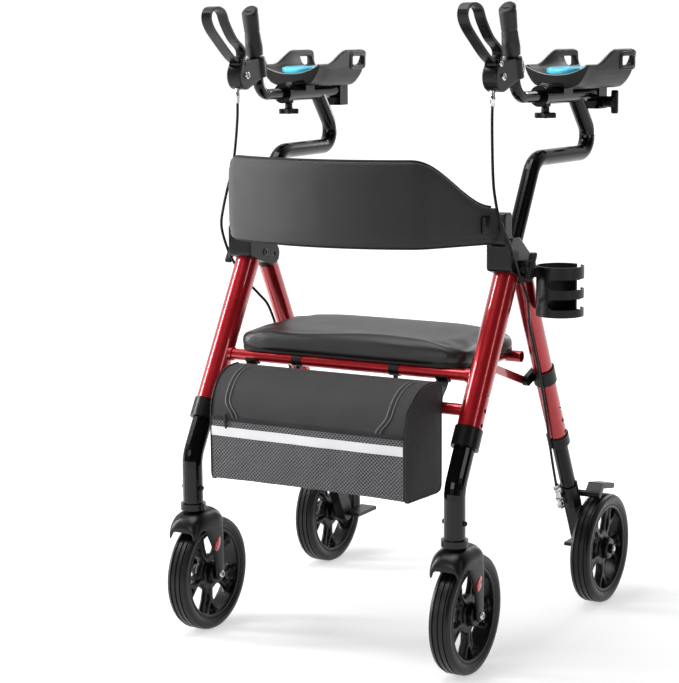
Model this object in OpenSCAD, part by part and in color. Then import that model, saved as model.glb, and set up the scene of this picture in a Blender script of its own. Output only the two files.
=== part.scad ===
// Upright walker on four wheels, with forearm rests, a folding frame, a padded seat, a backrest band,
// a front bag and a cup holder. Millimetres, +Z up, the front towards -Y, the user's left towards +X.
// The origin is on the floor, midway between the sides. Side pieces are drawn in the plane of the left
// legs, with +X outboard, and mirrored for the right.

/* [Frame] */
// Half the distance between the planes of the legs
leg_x = 254; // [246:1:262]
// Lean of the front legs and armrest posts from upright, degrees
front_lean = 30; // [29:0.5:31]
// Lean of the rear legs from upright, degrees
rear_lean = 27; // [26:0.5:28]
// Height of the frame joints
joint_z = 650; // [640:1:660]
// Place of the front legs at the joints, front to back
joint_y = -56; // [-60:1:-52]
// Outer diameter of the front leg tubes
front_od = 42; // [40:0.5:44]
// Length of a front leg tube
front_len = 330; // [310:1:350]
// Outer diameter of the rear leg tubes
rear_od = 35; // [33:0.5:36]
// Length of a rear leg tube
rear_len = 350; // [330:1:370]
// Wall of the leg tubes
leg_wall = 3; // [2.5:0.1:3.4]
// Diameter of the crossbar and of the seat tubes
bar_d = 20; // [16:0.5:22]

/* [Inner legs] */
// Travel of each leg height setting, two button pitches
leg_travel = 50; // [40:1:56]
// Length of a front inner leg above its bend
front_inner_len = 225; // [215:1:235]
// Radius of the bend of a front inner leg
stem_bend_r = 60; // [40:1:70]
// Length of a rear inner leg tube
rear_inner_len = 285; // [275:1:290]
// Wall of the inner leg tubes
inner_wall = 2.5; // [2:0.1:3]
// Diameter of the snap buttons
button_d = 7; // [5:0.5:8]

/* [Wheels] */
// Radius of the wheels
wheel_r = 100; // [96:1:101]
// Width of the tyres
tyre_w = 38; // [34:1:39]
// Height of a tyre's rubber
tyre_t = 19; // [15:0.5:22]
// Depth of the tread grooves
groove_t = 2; // [1:0.25:3]
// Number of spokes in a wheel
spoke_n = 5; // [4:1:7]
// Trail of the front wheels behind their stems
trail = 40; // [34:1:44]
// Diameter of the wheel axles
axle_d = 8; // [7:0.5:10]
// Place of the rear wheels outboard of the legs
rear_wheel_x = 36; // [35.5:0.5:40]

/* [Armrests] */
// Outer diameter of an armrest post
post_od = 28; // [26:0.5:28]
// Travel of an armrest post
post_travel = 100; // [60:5:105]
// Height of the level part of an armrest post
post_level_z = 826; // [815:1:840]
// Place of the rear bend of an armrest post
post_bend_y = 282; // [270:1:290]
// Height of the sleeve under a forearm tray
sleeve_z = 930; // [925:1:938]
// Outer diameter of the sleeve
sleeve_od = 30; // [28:0.5:32]
// Turn of the armrests, rear ends outboard, degrees
toe = 3; // [0:0.5:6]
// Front end of the sleeve
sleeve_front_y = 62; // [55:1:68]
// Rear end of the sleeve
sleeve_rear_y = 292; // [285:1:300]
// Half the width of a forearm tray
tray_half_w = 60; // [54:1:64]
// Front end of a forearm tray
tray_front_y = 108; // [104:1:112]
// Length of a forearm tray
tray_len = 200; // [190:1:206]
// Height of the wings at the rear of a tray, over its underside
tray_wing_h = 58; // [52:1:64]
// Height of the side walls at the front of a tray, over its underside
tray_side_h = 33; // [28:1:38]
// Thickness of a tray
tray_t = 7; // [5:0.5:9]
// Thickness of a gel pad
gel_t = 11; // [8:0.5:13]

/* [Handles and brakes] */
// Diameter of a handle tube
handle_d = 20; // [19:0.5:21]
// Place of the bend of a handle tube
handle_bend_y = -21; // [-26:1:-16]
// Lean of the grips towards the front, degrees
grip_lean = 12; // [10:0.5:14]
// Outer diameter of a grip
grip_od = 30; // [28:0.5:32]
// Length of a grip
grip_len = 86; // [80:1:92]
// Travel of a handle in its sleeve
handle_travel = 40; // [20:5:40]
// Width of the flat band of a brake lever
lever_w = 18; // [14:0.5:20]
// Thickness of the flat band of a brake lever
lever_t = 5; // [4:0.25:6]
// Reach of a brake lever in front of its pivot
lever_reach = 104; // [95:1:110]
// Rise of a brake lever over its pivot
lever_rise = 97; // [90:1:102]
// Diameter of the brake cables
cable_d = 5; // [4:0.25:5]

/* [Seat] */
// Half the width of the seat pad
seat_half_w = 228; // [215:1:229]
// Depth of the seat pad
seat_depth = 245; // [225:1:255]
// Thickness of the seat pad at its edge
seat_edge_t = 33; // [26:0.5:35]
// Rise of the seat pad at its crown
seat_crown = 5; // [3:0.5:7]
// Thickness of the seat board
board_t = 7; // [5:0.5:9]

/* [Bag and backrest] */
// Half the width of the bag at its front
bag_half_w = 186; // [176:1:190]
// Depth of the bag
bag_depth = 108; // [100:1:112]
// Height of the bag
bag_h = 184; // [170:1:190]
// Underside of the bag over the floor
bag_z = 293; // [288:1:298]
// Height of the backrest band at its middle
band_h = 136; // [120:1:145]
// Height of the backrest band at its ends
band_end_h = 56; // [44:1:58]
// Thickness of the backrest band
band_t = 20; // [14:0.5:22]
// Rise of the band's front over its ends, in plan
band_bulge = 166; // [150:1:175]

/* [Cup holder] */
// Inner radius of the cup holder
cup_r = 37; // [33:0.5:38]
// Height of the cup holder
cup_h = 84; // [76:1:90]
// Wall of the cup holder
cup_wall = 3; // [2:0.25:3.5]

/* [Fits] */
// Gap between tubes that slide in each other
slide_gap = 0.3; // [0.2:0.05:0.5]
// Radial gap between a pin and its bore
pin_gap = 0.05; // [0.02:0.01:0.1]
// Gap between pieces that pass each other
pass_gap = 1.5; // [1:0.1:2]
// Gap under a soft piece and at a butted end
rest_gap = 0.3; // [0.2:0.05:0.5]

/* [Hidden] */
overrun = 1;
$fn = 64;
hull_fn = 32;
ball_fn = 24;

// Colours
red = "firebrick";
black = "dimgray";
satin = "gray";
rubber = "darkslategray";
steel = "lightsteelblue";
cyan = "deepskyblue";

// Frame lines: along a front leg from the joint, up, and along a rear leg from its top, down
rear_top_y = -7;
function on_front(s) = [joint_y + s * sin(front_lean), joint_z + s * cos(front_lean)];
function on_rear(t) = [rear_top_y + t * sin(rear_lean), joint_z - t * cos(rear_lean)];
front_top_s = 20;
front_low_s = front_top_s - front_len;
rear_top_t = 24;
rear_low_t = rear_top_t + rear_len;
bar_wall = 2;
rail_d = 17;

// Steps round the bends of the tubes, and their sides
stem_bend_n = 4;
post_bend_n = 6;
post_tight_n = 10;
handle_bend_n = 7;
pipe_side_n = 20;

// Fold pivot and the cap on the rear leg's top
pivot_y = -10;
pivot_drop = 4;
pivot_z = joint_z - pivot_drop;
pivot_pin_r = 4;
cap_eye_r = 15;
cap_neck = 10;
cap_plug = 22;
ear_r = 20;
cheek_t = 4.7;
swing_reach = 88;
joint_w = rear_od + 2 * cheek_t + pass_gap;
joint_slot_w = rear_od + pass_gap;
pin_reach = joint_slot_w / 2 + cheek_t - pass_gap;

// Frame joint outline, from the leg's place at the joint
joint_front = 34;
joint_heel = 2;
joint_drop = 2;
joint_rise = 54;
joint_corner_r = 6;
tower_front = 40;
tower_t = 28;
tower_w = 28;
tower_h = 42;
joint_front_y = joint_y - joint_front;
joint_low_z = joint_z - joint_drop;
joint_top_z = joint_z + joint_rise;
tower_y = joint_y - tower_front + tower_t / 2;
bush_len = 40;
lock_s = 6;
lock_r = 4;

// Front collar and rear collar
collar_t = 2.5;
collar_len = 34;
collar_lip = 28;
rear_collar_len = 20;
rear_collar_lip = 17;

// Crossbar behind the bag
bag_rear_y = -182;
crossbar_y = bag_rear_y + rest_gap + bar_d / 2;

// Inner legs
inner_overlap = 150;
front_inner_od = front_od - 2 * leg_wall - 2 * slide_gap;
rear_inner_od = rear_od - 2 * leg_wall - 2 * slide_gap;
front_inner_top_s = front_low_s + inner_overlap;
stem_corner_s = front_inner_top_s - front_inner_len;
stem_y = on_front(stem_corner_s)[0];
stem_low_z = 229;
stem_ring_t = 4.5;
stem_ring_h = 11;
stem_plug_h = 46;
stem_r = 8;
rear_axle_t = (joint_z - wheel_r) / cos(rear_lean);
rear_foot_up = 108.28;
rear_inner_low_t = rear_axle_t - rear_foot_up;

// Leg buttons: the button sits in the top one of three holes
hole_pitch = leg_travel / 2;
front_button_up = 85;
front_button_s = front_low_s + front_button_up;
button_proud = 2;
button_foot = 4;
button_foot_d = 9;

// Wheels and axles
axle_r = axle_d / 2;
hub_r = 19;
hub_half_w = 21;
rim_t = 7;
rim_w_share = 0.86;
bearing_od = 22;
bearing_w = 7;
spoke_w = 9;
spoke_t = 15;
spoke_fork_share = 0.45;
spoke_spread = 17;
tread_shoulder = 7;
shoulder_round_share = 0.3;
groove_w = 3;
front_axle_y = stem_y + trail;
rear_axle_y = on_rear(rear_axle_t)[0];

// Fork
fork_arm_t = 7;
fork_gap = 3;
fork_in = tyre_w / 2 + fork_gap;
fork_top_z = stem_low_z - stem_ring_h / 2 - rest_gap;
fork_hood_r = 18;
fork_hood_front = 20;
fork_hood_rear = 34;
fork_hood_half_w = 14;
fork_boss_r = 12;
fork_knee_r = 16;
fork_knee_up = 39;
fork_shoulder_r = 25;
fork_clear = 4;
fork_head_t = 4;
fork_head_r = 7;
stem_pin_h = 34;

// Rear axle bracket, its pedal and the brake
bracket_t = 2.3;
bracket_len = 44;
bracket_w = 20;
bracket_boss_r = 15;
bracket_lip = 7;
bracket_axle_in = 14;
axle_nut_r = 9;
axle_nut_t = 6;
pedal_y = 8;
pedal_len = 62;
pedal_w = 24;
pedal_t = 7;
pedal_drop = 6;
brake_pivot_front = 34;
brake_pivot_up = 7;
brake_pivot = [rear_axle_y - brake_pivot_front, 2 * wheel_r + brake_pivot_up];
brake_pin_r = 3;
brake_eye_r = 6;
brake_gap = 6.5;
brake_knee = [14, 14];
brake_far = [62, 5];
brake_bar_r = 5;
brake_out = 50;
brake_in = 21;
brake_tooth_n = 7;
brake_tooth_t = 3;
adjuster_r = 4.5;
adjuster_nut_r = 6;
adjuster_nut_t = 5;
adjuster_len = 50;
adjuster_nut_shares = [0, 0.35, 0.8];
adjuster_lug_share = 0.6;

// Armrest post, its sleeve and its knobs
post_overlap = 25;
post_low_s = -post_travel - post_overlap;
post_wall = 2.2;
post_bend_r = 45;
post_tight_r = 30;
post_top_lean = 40;
post_corner_s = (post_level_z - joint_z) / cos(front_lean);
post_corner_y = on_front(post_corner_s)[0];
post_top_y = post_bend_y - (sleeve_z - post_level_z) * tan(post_top_lean);
sleeve_ring_w = 12;
sleeve_ring_t = 3;
sleeve_seat_h = sleeve_od / 2 + sleeve_ring_t;
sleeve_saddle_y = 126;
sleeve_saddle_len = 34;
sleeve_clamp_len = 32;
sleeve_clamp_half_w = 17;
sleeve_clamp_drop = 28;
star_in = 24;
star_y = sleeve_front_y + star_in;
star_r = 20;
star_t = 9;
star_hub_r = 9;
star_neck_r = 7;
star_hub_h = 10;
star_lobe_n = 6;
star_lobe_r = 5;
screw_r = 4;
wing_hub_r = 10;
wing_t = 8;
wing_w = 12;
post_knob_hub = 17;
post_knob_wing = 26;
tray_knob_in = 15;
tray_knob_drop = 16;
tray_knob_hub = 22;
tray_knob_wing = 21;
tray_knob_y = sleeve_rear_y - tray_knob_in;
tray_knob_z = sleeve_z - tray_knob_drop;

// Forearm tray and gel pad
tray_x = 8;
tray_z = sleeve_z + sleeve_seat_h + rest_gap;
tray_floor_h = 17;
tray_rise_shares = [0.18, 0.58];
tray_rear_cut_share = 0.14;
tray_slot_y_share = 0.79;
tray_slot_z_share = 0.66;
tray_slot_len = 44;
tray_slot_h = 16;
tray_n = 20;
tray_m = 20;
tray_skirt_h = 9;
tray_skirt_run = 8;
tray_skirt_share = 0.7;
gel_gap = 0.6;
gel_half_w = 31;
gel_margin = 6;
gel_len_share = 0.82;
gel_waist_share = 0.19;
gel_waist_at_share = 0.66;
gel_waist_run_share = 0.07;
gel_groove_share = 0.35;
gel_edge_share = 0.35;
gel_n = 20;
gel_m = 8;

// Handle and grip
handle_in = 58;
handle_end_y = sleeve_rear_y - handle_in;
handle_bend_r = 35;
handle_wall = 2;
grip_low = 72;
grip_flare = 1.5;
grip_end_t = 6;

// Brake housing and lever, from the corner of the handle tube
housing_w = 27;
housing_low = 32;
housing_high = 68;
housing_r = 17;
pod_place = [-67, 36];
pod_r = 25;
lever_place = [-76, 57];
lever_hub_r = 8;
lever_pin_r = 3;
lever_heel = [18, 10];
lever_slot_w = lever_w + pass_gap;
ferrule_r = 4;
ferrule_h = 24;
lever_loop_shares = [
    [0.04, 0.0], [0.28, 0.1], [0.62, 0.36], [0.9, 0.6], [1.0, 0.8], [0.92, 0.96], [0.7, 1.0],
    [0.5, 0.92], [0.38, 0.72], [0.16, 0.46], [-0.1, 0.28], [-0.14, 0.12]
];
lever_step_n = 4;

// Seat frame, board and pad
seat_axis_s = -192;
seat_axis_y = on_front(seat_axis_s)[0];
seat_axis_z = on_front(seat_axis_s)[1];
crossbar_share = 0.3107;
collar_top_s = front_low_s + collar_lip;
crossbar_z = on_front(collar_top_s + crossbar_share * (seat_axis_s - collar_top_s))[1];
seat_stud_r = 6;
seat_boss_r = 12;
seat_boss_t = 5;
seat_stud_len = 24;
seat_rail_x = 198;
seat_rear_y = 56;
board_z = seat_axis_z + bar_d / 2 + rest_gap;
board_inset = 9;
board_corner_r = 36;
seat_front_over = 17;
seat_front_y = seat_axis_y - seat_front_over;
pad_n = 24;
pad_m = 16;
pad_corner_power = 7;
pad_draw_share = 0.012;
pad_low_share = 0.45;

// Link from the seat frame to the rear leg clamp
link_t = 8;
link_in = 29;
link_x = leg_x - link_in;
link_w = 14;
link_pin_r = 4;
link_pin_len = 11;
link_seat_y = -60;
link_seat_down = 1;
link_seat_z = seat_axis_z - link_seat_down;
link_leg_y = 68;
link_leg_z = 440;
link_boss_r = 9;
guide_len = 21.5;
guide_drop = 3.5;
guide_depth = 12;
clamp_at_t = 212;
clamp_len = 28;
clamp_low_t = clamp_at_t + clamp_len;
rear_button_share = 0.504;
rear_button_t = clamp_low_t + rear_button_share * (rear_low_t - rear_collar_lip - clamp_low_t);
clamp_wall = 3;
clamp_lug_t = 9;

// Bag
bag_flare = 10;
bag_top_r = 74;
bag_edge_r = 12;
bag_arc_n = 10;
bag_edge_n = 3;

// Backrest band: a wide front arc, a corner arc on each side and a straight run to each end
band_low_z = 698;
band_front_r = 386;
band_front_half = 160;
band_corner_r = 60;
band_end_in = 8;
band_end_x = leg_x - band_end_in;
band_end_y = tower_y - tower_t / 2 - rest_gap;
band_front_y = band_end_y - band_bulge;
band_taper_share = 0.52;
band_square_share = 0.9;
band_n = 36;
band_m = 6;
band_edge_share = 0.45;

// Cup holder
cup_x = 65;
cup_y = 12;
cup_z = 568;
cup_floor = 4;
cup_arm_w = 22;
cup_arm_h = 16;
cup_arm_z = 634;
cup_window_h = 18;
cup_window_z_shares = [0.26, 0.65];
cup_window_turns = [-52, 20];
cup_slit_turn = 58;
cup_slit = 14;

// Cable route outboard of the leg plane, front to back and over the floor
cable_route = [
    [-8, -100, 920], [-8, -101, 895], [-6, -104, 855], [-2, -109, 808], [4, -115, 777], [14, -117, 737],
    [25, -108, 704], [29, -89, 669], [29, -68, 638], [26, -34, 600], [16, -4, 570], [8, 17, 545],
    [6, 47, 490], [4, 78, 430], [0, 107, 374], [-6, 136, 318], [-10, 162, 268], [-12, 181, 231]
];
cable_step_n = 3;
cable_side_n = 8;

// Placing helpers
module left() translate([leg_x, 0, 0]) children();
module right() mirror([1, 0, 0]) left() children();
module both() { left() children(); right() children(); }
module at(yz) translate([0, yz[0], yz[1]]) children();
module along_front(s) at(on_front(s)) rotate([-front_lean, 0, 0]) children();
module along_rear(t) at(on_rear(t)) rotate([rear_lean, 0, 0]) children();
module across(w) rotate([90, 0, 90]) linear_extrude(w, center = true) children();
module across_from(x, w) translate([x, 0, 0]) rotate([90, 0, 90]) linear_extrude(w) children();
module spot(yz, r) translate(yz) circle(r, $fn = hull_fn);

// A point or a piece of an armrest, turned about the upright line through the post's lower bend
module toed() translate([0, post_corner_y, 0]) rotate([0, 0, -toe])
    translate([0, -post_corner_y, 0]) children();
function toed_point(yz) =
    [(yz[0] - post_corner_y) * sin(toe), post_corner_y + (yz[0] - post_corner_y) * cos(toe), yz[1]];
function flat_point(yz) = [0, yz[0], yz[1]];

// A round rod along a route, straight between corners, with one bend radius for each corner
function unit(v) = v / norm(v);
function heading(p, i) = unit(p[i + 1] - p[i]);
function turn_at(p, i) = acos(heading(p, i - 1) * heading(p, i));
function trim(p, radii, i) = (i == 0 || i == len(p) - 1) ? 0 : radii[i - 1] * tan(turn_at(p, i) / 2);

// Places along a bent route, each with its direction: both ends, and the steps round each bend
function bend_places(p, radii, i, steps) =
    let (
        go = heading(p, i - 1),
        inward = cross(unit(cross(go, heading(p, i))), go),
        middle = p[i] - go * trim(p, radii, i) + inward * radii[i - 1]
    )
    [
        for (k = [0 : steps[i - 1]]) let (a = turn_at(p, i) * k / steps[i - 1])
            [middle + radii[i - 1] * (go * sin(a) - inward * cos(a)), go * cos(a) + inward * sin(a)]
    ];
function bent_places(p, radii, steps) = concat(
    [[p[0], heading(p, 0)]],
    [for (i = [1 : len(p) - 2]) for (q = bend_places(p, radii, i, steps)) q],
    [[p[len(p) - 1], heading(p, len(p) - 2)]]
);

// A round ring of points at each place of a route
function rings_along(places, r, sides) = [
    for (q = places) let (a = unit(cross(q[1], [1, 0, 0])), b = cross(q[1], a))
        [for (k = [0 : sides - 1]) q[0] + r * (cos(360 * k / sides) * a + sin(360 * k / sides) * b)]
];
function skin_faces(rows, sides) = [
    for (i = [0 : rows - 2]) for (k = [0 : sides - 1]) for (h = [0, 1])
        let (a = i * sides + k, b = i * sides + (k + 1) % sides)
            h == 0 ? [a, b + sides, b] : [a, a + sides, b + sides]
];

// A bent tube with its bore, in triangles
module bent_tube(p, radii, steps, d, wall) {
    places = bent_places(p, radii, steps);
    rows = len(places);
    sides = pipe_side_n;
    count = rows * sides;
    top = (rows - 1) * sides;
    rings = concat(rings_along(places, d / 2, sides), rings_along(places, d / 2 - wall, sides));
    skin = skin_faces(rows, sides);
    bore = [for (f = skin) [count + f[0], count + f[2], count + f[1]]];
    ends = [
        for (k = [0 : sides - 1]) for (h = [0 : 3]) let (m = (k + 1) % sides)
            h == 0 ? [k, count + m, count + k]
            : h == 1 ? [k, m, count + m]
            : h == 2 ? [top + k, count + top + k, count + top + m]
            : [top + k, count + top + m, top + m]
    ];
    polyhedron([for (r = rings) for (q = r) q], concat(skin, bore, ends), convexity = 8);
}

// A closed skin over two grids of points, one above the other, all in triangles
module slab(top, bottom) {
    rows = len(top);
    cols = len(top[0]);
    count = rows * cols;
    points = concat([for (r = top) for (q = r) q], [for (r = bottom) for (q = r) q]);
    function id(i, j) = i * cols + j;
    upper = [
        for (i = [0 : rows - 2]) for (j = [0 : cols - 2]) for (h = [0, 1])
            h == 0 ? [id(i, j), id(i + 1, j), id(i + 1, j + 1)] : [id(i, j), id(i + 1, j + 1), id(i, j + 1)]
    ];
    lower = [for (f = upper) [count + f[0], count + f[2], count + f[1]]];
    rim = concat(
        [for (j = [0 : cols - 2]) id(0, j)],
        [for (i = [0 : rows - 2]) id(i, cols - 1)],
        [for (j = [cols - 1 : -1 : 1]) id(rows - 1, j)],
        [for (i = [rows - 1 : -1 : 1]) id(i, 0)]
    );
    n = len(rim);
    wall = [
        for (k = [0 : n - 1]) for (h = [0, 1])
            h == 0 ? [rim[k], rim[(k + 1) % n], count + rim[(k + 1) % n]]
            : [rim[k], count + rim[(k + 1) % n], count + rim[k]]
    ];
    polyhedron(points, concat(upper, lower, wall), convexity = 6);
}

// Points on one smooth curve through a route's own points
function smooth(a, b, c, d, t) =
    0.5 * (2 * b + (c - a) * t + (2 * a - 5 * b + 4 * c - d) * t * t + (3 * b - a - 3 * c + d) * t * t * t);
function open_curve(p, n) = concat(
    [
        for (i = [0 : len(p) - 2]) for (k = [0 : n - 1])
            smooth(p[max(i - 1, 0)], p[i], p[i + 1], p[min(i + 2, len(p) - 1)], k / n)
    ],
    [p[len(p) - 1]]
);
function closed_curve(p, n) = [
    for (i = [0 : len(p) - 1]) for (k = [0 : n - 1])
        smooth(
            p[(i + len(p) - 1) % len(p)], p[i], p[(i + 1) % len(p)], p[(i + 2) % len(p)], k / n
        )
];

// A round cord along a route, in triangles
module cord(p, d, sides) {
    rows = len(p);
    top = (rows - 1) * sides;
    places = [for (i = [0 : rows - 1]) [p[i], unit(p[min(i + 1, rows - 1)] - p[max(i - 1, 0)])]];
    ends = [
        for (k = [1 : sides - 2]) for (h = [0, 1])
            h == 0 ? [0, k, k + 1] : [top, top + k + 1, top + k]
    ];
    polyhedron(
        [for (r = rings_along(places, d / 2, sides)) for (q = r) q], concat(skin_faces(rows, sides), ends),
        convexity = 6
    );
}

// Front frame: both leg tubes, the crossbar and the studs that the seat turns on, welded
module front_frame() color(red) difference() {
    union() {
        both() {
            along_front(front_low_s) cylinder(d = front_od, h = front_len);
            at([seat_axis_y, seat_axis_z]) rotate([0, -90, 0]) {
                cylinder(r = seat_boss_r, h = front_od / 2 + seat_boss_t);
                cylinder(r = seat_stud_r, h = front_od / 2 + seat_boss_t + seat_stud_len);
            }
        }
        at([crossbar_y, crossbar_z]) rotate([0, 90, 0]) cylinder(d = bar_d, h = 2 * leg_x, center = true);
    }
    both() {
        along_front(front_low_s - overrun) cylinder(d = front_od - 2 * leg_wall, h = front_len + 2 * overrun);
        for (k = [0 : 2]) along_front(front_button_s - k * hole_pitch) rotate([0, 90, 0])
            cylinder(d = button_d + 2 * slide_gap, h = front_od);
        along_front(lock_s) rotate([0, 90, 0]) cylinder(r = lock_r + slide_gap, h = front_od);
    }
    at([crossbar_y, crossbar_z]) rotate([0, 90, 0])
        cylinder(d = bar_d - 2 * bar_wall, h = 2 * leg_x, center = true);
}

// A point of the rear leg after the leg has folded by a turn
function about_pivot(q, turn) =
    let (d = q - [pivot_y, pivot_z])
    [pivot_y + d[0] * cos(turn) + d[1] * sin(turn), pivot_z + d[1] * cos(turn) - d[0] * sin(turn)];

// Frame joint: a block over the front leg's top with a clevis for the rear leg and a tower for the backrest
module joint_block() color(satin) difference() {
    union() {
        across(joint_w) hull() {
            spot([joint_front_y + joint_corner_r, joint_low_z + joint_corner_r], joint_corner_r);
            spot([joint_front_y + joint_corner_r, joint_top_z - joint_corner_r], joint_corner_r);
            spot([joint_y - joint_heel, joint_top_z - joint_corner_r], joint_corner_r);
            spot([pivot_y, pivot_z], ear_r);
        }
        across(tower_w) hull()
            for (z = [joint_top_z - joint_corner_r, joint_top_z + tower_h - joint_corner_r]) for (k = [-1, 1])
                spot([tower_y + k * (tower_t / 2 - joint_corner_r), z], joint_corner_r);
    }
    difference() {
        along_front(front_low_s) cylinder(d = front_od, h = front_len);
        along_front(front_top_s - bush_len) cylinder(d = front_od - 2 * leg_wall, h = bush_len + overrun);
    }
    along_front(front_low_s) cylinder(d = post_od + 2 * slide_gap, h = 2 * front_len);
    across(joint_slot_w) hull() {
        spot([pivot_y, pivot_z], cap_eye_r + pass_gap);
        for (lean = [0, rear_lean])
            spot([pivot_y, pivot_z] + swing_reach * [sin(lean), -cos(lean)], ear_r + pass_gap);
        for (turn = [0, rear_lean])
            spot(about_pivot(on_rear(rear_top_t - cap_neck), turn), rear_od / 2 + pass_gap);
    }
    at([pivot_y, pivot_z]) rotate([0, 90, 0])
        cylinder(r = pivot_pin_r + pin_gap, h = 2 * pin_reach + pass_gap, center = true);
    along_front(lock_s) rotate([0, 90, 0]) cylinder(r = lock_r + slide_gap, h = joint_w);
}

module front_collars() color(satin) both() difference() {
    along_front(front_low_s - collar_len + collar_lip) cylinder(d = front_od + 2 * collar_t, h = collar_len);
    along_front(front_low_s) cylinder(d = front_od, h = front_len);
    along_front(front_low_s - collar_len) cylinder(d = front_inner_od + 2 * slide_gap, h = front_len);
}

// Rear legs
module rear_leg() color(red) difference() {
    along_rear(rear_low_t) cylinder(d = rear_od, h = rear_len);
    along_rear(rear_low_t + overrun) cylinder(d = rear_od - 2 * leg_wall, h = rear_len + 2 * overrun);
    for (k = [0 : 2]) along_rear(rear_button_t + k * hole_pitch) rotate([0, 90, 0])
        cylinder(d = button_d + 2 * slide_gap, h = rear_od);
}

// Cap with its pivot pin, clamp with its link pin, and lower collar of one rear leg
module rear_fittings() color(satin) {
    difference() {
        union() {
            across(rear_od) hull() {
                spot([pivot_y, pivot_z], cap_eye_r);
                spot(on_rear(rear_top_t - cap_neck), cap_eye_r);
            }
            along_rear(rear_top_t) cylinder(d = rear_od, h = cap_neck);
            at([pivot_y, pivot_z]) rotate([0, 90, 0])
                cylinder(r = pivot_pin_r, h = 2 * pin_reach, center = true);
        }
        along_rear(rear_low_t) cylinder(d = 2 * rear_od, h = rear_len);
    }
    along_rear(rear_top_t + cap_plug) cylinder(d = rear_od - 2 * leg_wall, h = cap_plug + cap_neck / 2);
    difference() {
        union() {
            along_rear(clamp_low_t) cylinder(d = rear_od + 2 * clamp_wall, h = clamp_len);
            across_from(link_x - leg_x + link_t / 2 + rest_gap, clamp_lug_t) hull() {
                spot([link_leg_y, link_leg_z], link_boss_r);
                spot(on_rear(clamp_at_t + clamp_len / 2), link_boss_r);
            }
            at([link_leg_y, link_leg_z]) translate([link_x - leg_x - link_t / 2 - rest_gap, 0, 0])
                rotate([0, 90, 0]) cylinder(r = link_pin_r, h = link_t + 2 * rest_gap + overrun);
        }
        along_rear(rear_low_t) cylinder(d = rear_od, h = rear_len);
    }
    difference() {
        along_rear(rear_low_t + rear_collar_len - rear_collar_lip)
            cylinder(d = rear_od + 2 * collar_t, h = rear_collar_len);
        along_rear(rear_low_t) cylinder(d = rear_od, h = rear_len);
        along_rear(rear_low_t + rear_collar_len) cylinder(d = rear_inner_od + 2 * slide_gap, h = rear_len);
    }
}

// Link: a round hole on the clamp's pin, and a pin of its own in the seat frame's guide
module seat_link() color(red) {
    leg_end = [link_leg_y, link_leg_z];
    seat_end = [link_seat_y, link_seat_z];
    translate([link_x - leg_x, 0, 0]) {
        difference() {
            across(link_t) hull() {
                spot(leg_end, link_w / 2);
                spot(seat_end, link_w / 2);
            }
            at(leg_end) rotate([0, 90, 0])
                cylinder(r = link_pin_r + pin_gap, h = link_t + overrun, center = true);
        }
        at(seat_end) rotate([0, -90, 0]) cylinder(r = link_pin_r, h = link_t / 2 + link_pin_len);
    }
}

// Seat: a tube frame with a guide block on each rail, in which the link's pin slides as the seat folds
module guide_plan(r) hull() for (y = [0, -guide_len]) for (z = [0, -guide_drop])
    spot([link_seat_y + y, link_seat_z + z], r);

module seat_frame() color(red) difference() {
    tube_end = leg_x - front_od / 2 - seat_boss_t - rest_gap;
    guide_end = link_x - link_t / 2 - rest_gap;
    union() {
        at([seat_axis_y, seat_axis_z]) rotate([0, 90, 0])
            cylinder(d = bar_d, h = 2 * tube_end, center = true);
        at([seat_rear_y, seat_axis_z]) rotate([0, 90, 0])
            cylinder(d = bar_d, h = 2 * (leg_x - joint_w / 2 - pass_gap), center = true);
        for (side = [-1, 1]) translate([side * seat_rail_x, seat_axis_y, seat_axis_z]) rotate([-90, 0, 0])
            cylinder(d = rail_d, h = seat_rear_y - seat_axis_y);
        both() across_from(seat_rail_x - leg_x, guide_end - seat_rail_x) guide_plan(link_boss_r);
    }
    both() across_from(guide_end - guide_depth - leg_x, guide_depth + overrun)
        guide_plan(link_pin_r + rest_gap);
    both() at([seat_axis_y, seat_axis_z]) rotate([0, -90, 0])
        cylinder(r = seat_stud_r + pin_gap, h = front_od / 2 + seat_boss_t + seat_stud_len + bar_d);
    hollow = bar_d - 2 * bar_wall;
    at([seat_axis_y, seat_axis_z]) rotate([0, 90, 0])
        cylinder(d = hollow, h = 2 * (tube_end - seat_stud_len - bar_wall), center = true);
    at([seat_rear_y, seat_axis_z]) rotate([0, 90, 0]) cylinder(d = hollow, h = 2 * leg_x, center = true);
    for (side = [-1, 1]) translate([side * seat_rail_x, seat_axis_y, seat_axis_z]) rotate([-90, 0, 0])
        cylinder(d = rail_d - 2 * bar_wall, h = seat_rear_y - seat_axis_y);
}

module seat_plan(x, y0, y1, r) hull() for (sx = [-1, 1]) for (y = [y0 + r, y1 - r])
    translate([sx * (x - r), y]) circle(r, $fn = hull_fn);

module seat_board() color(black) translate([0, 0, board_z]) linear_extrude(board_t)
    seat_plan(
        seat_half_w - board_inset, seat_front_y + board_inset, seat_front_y + seat_depth - board_inset,
        board_corner_r
    );

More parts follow.
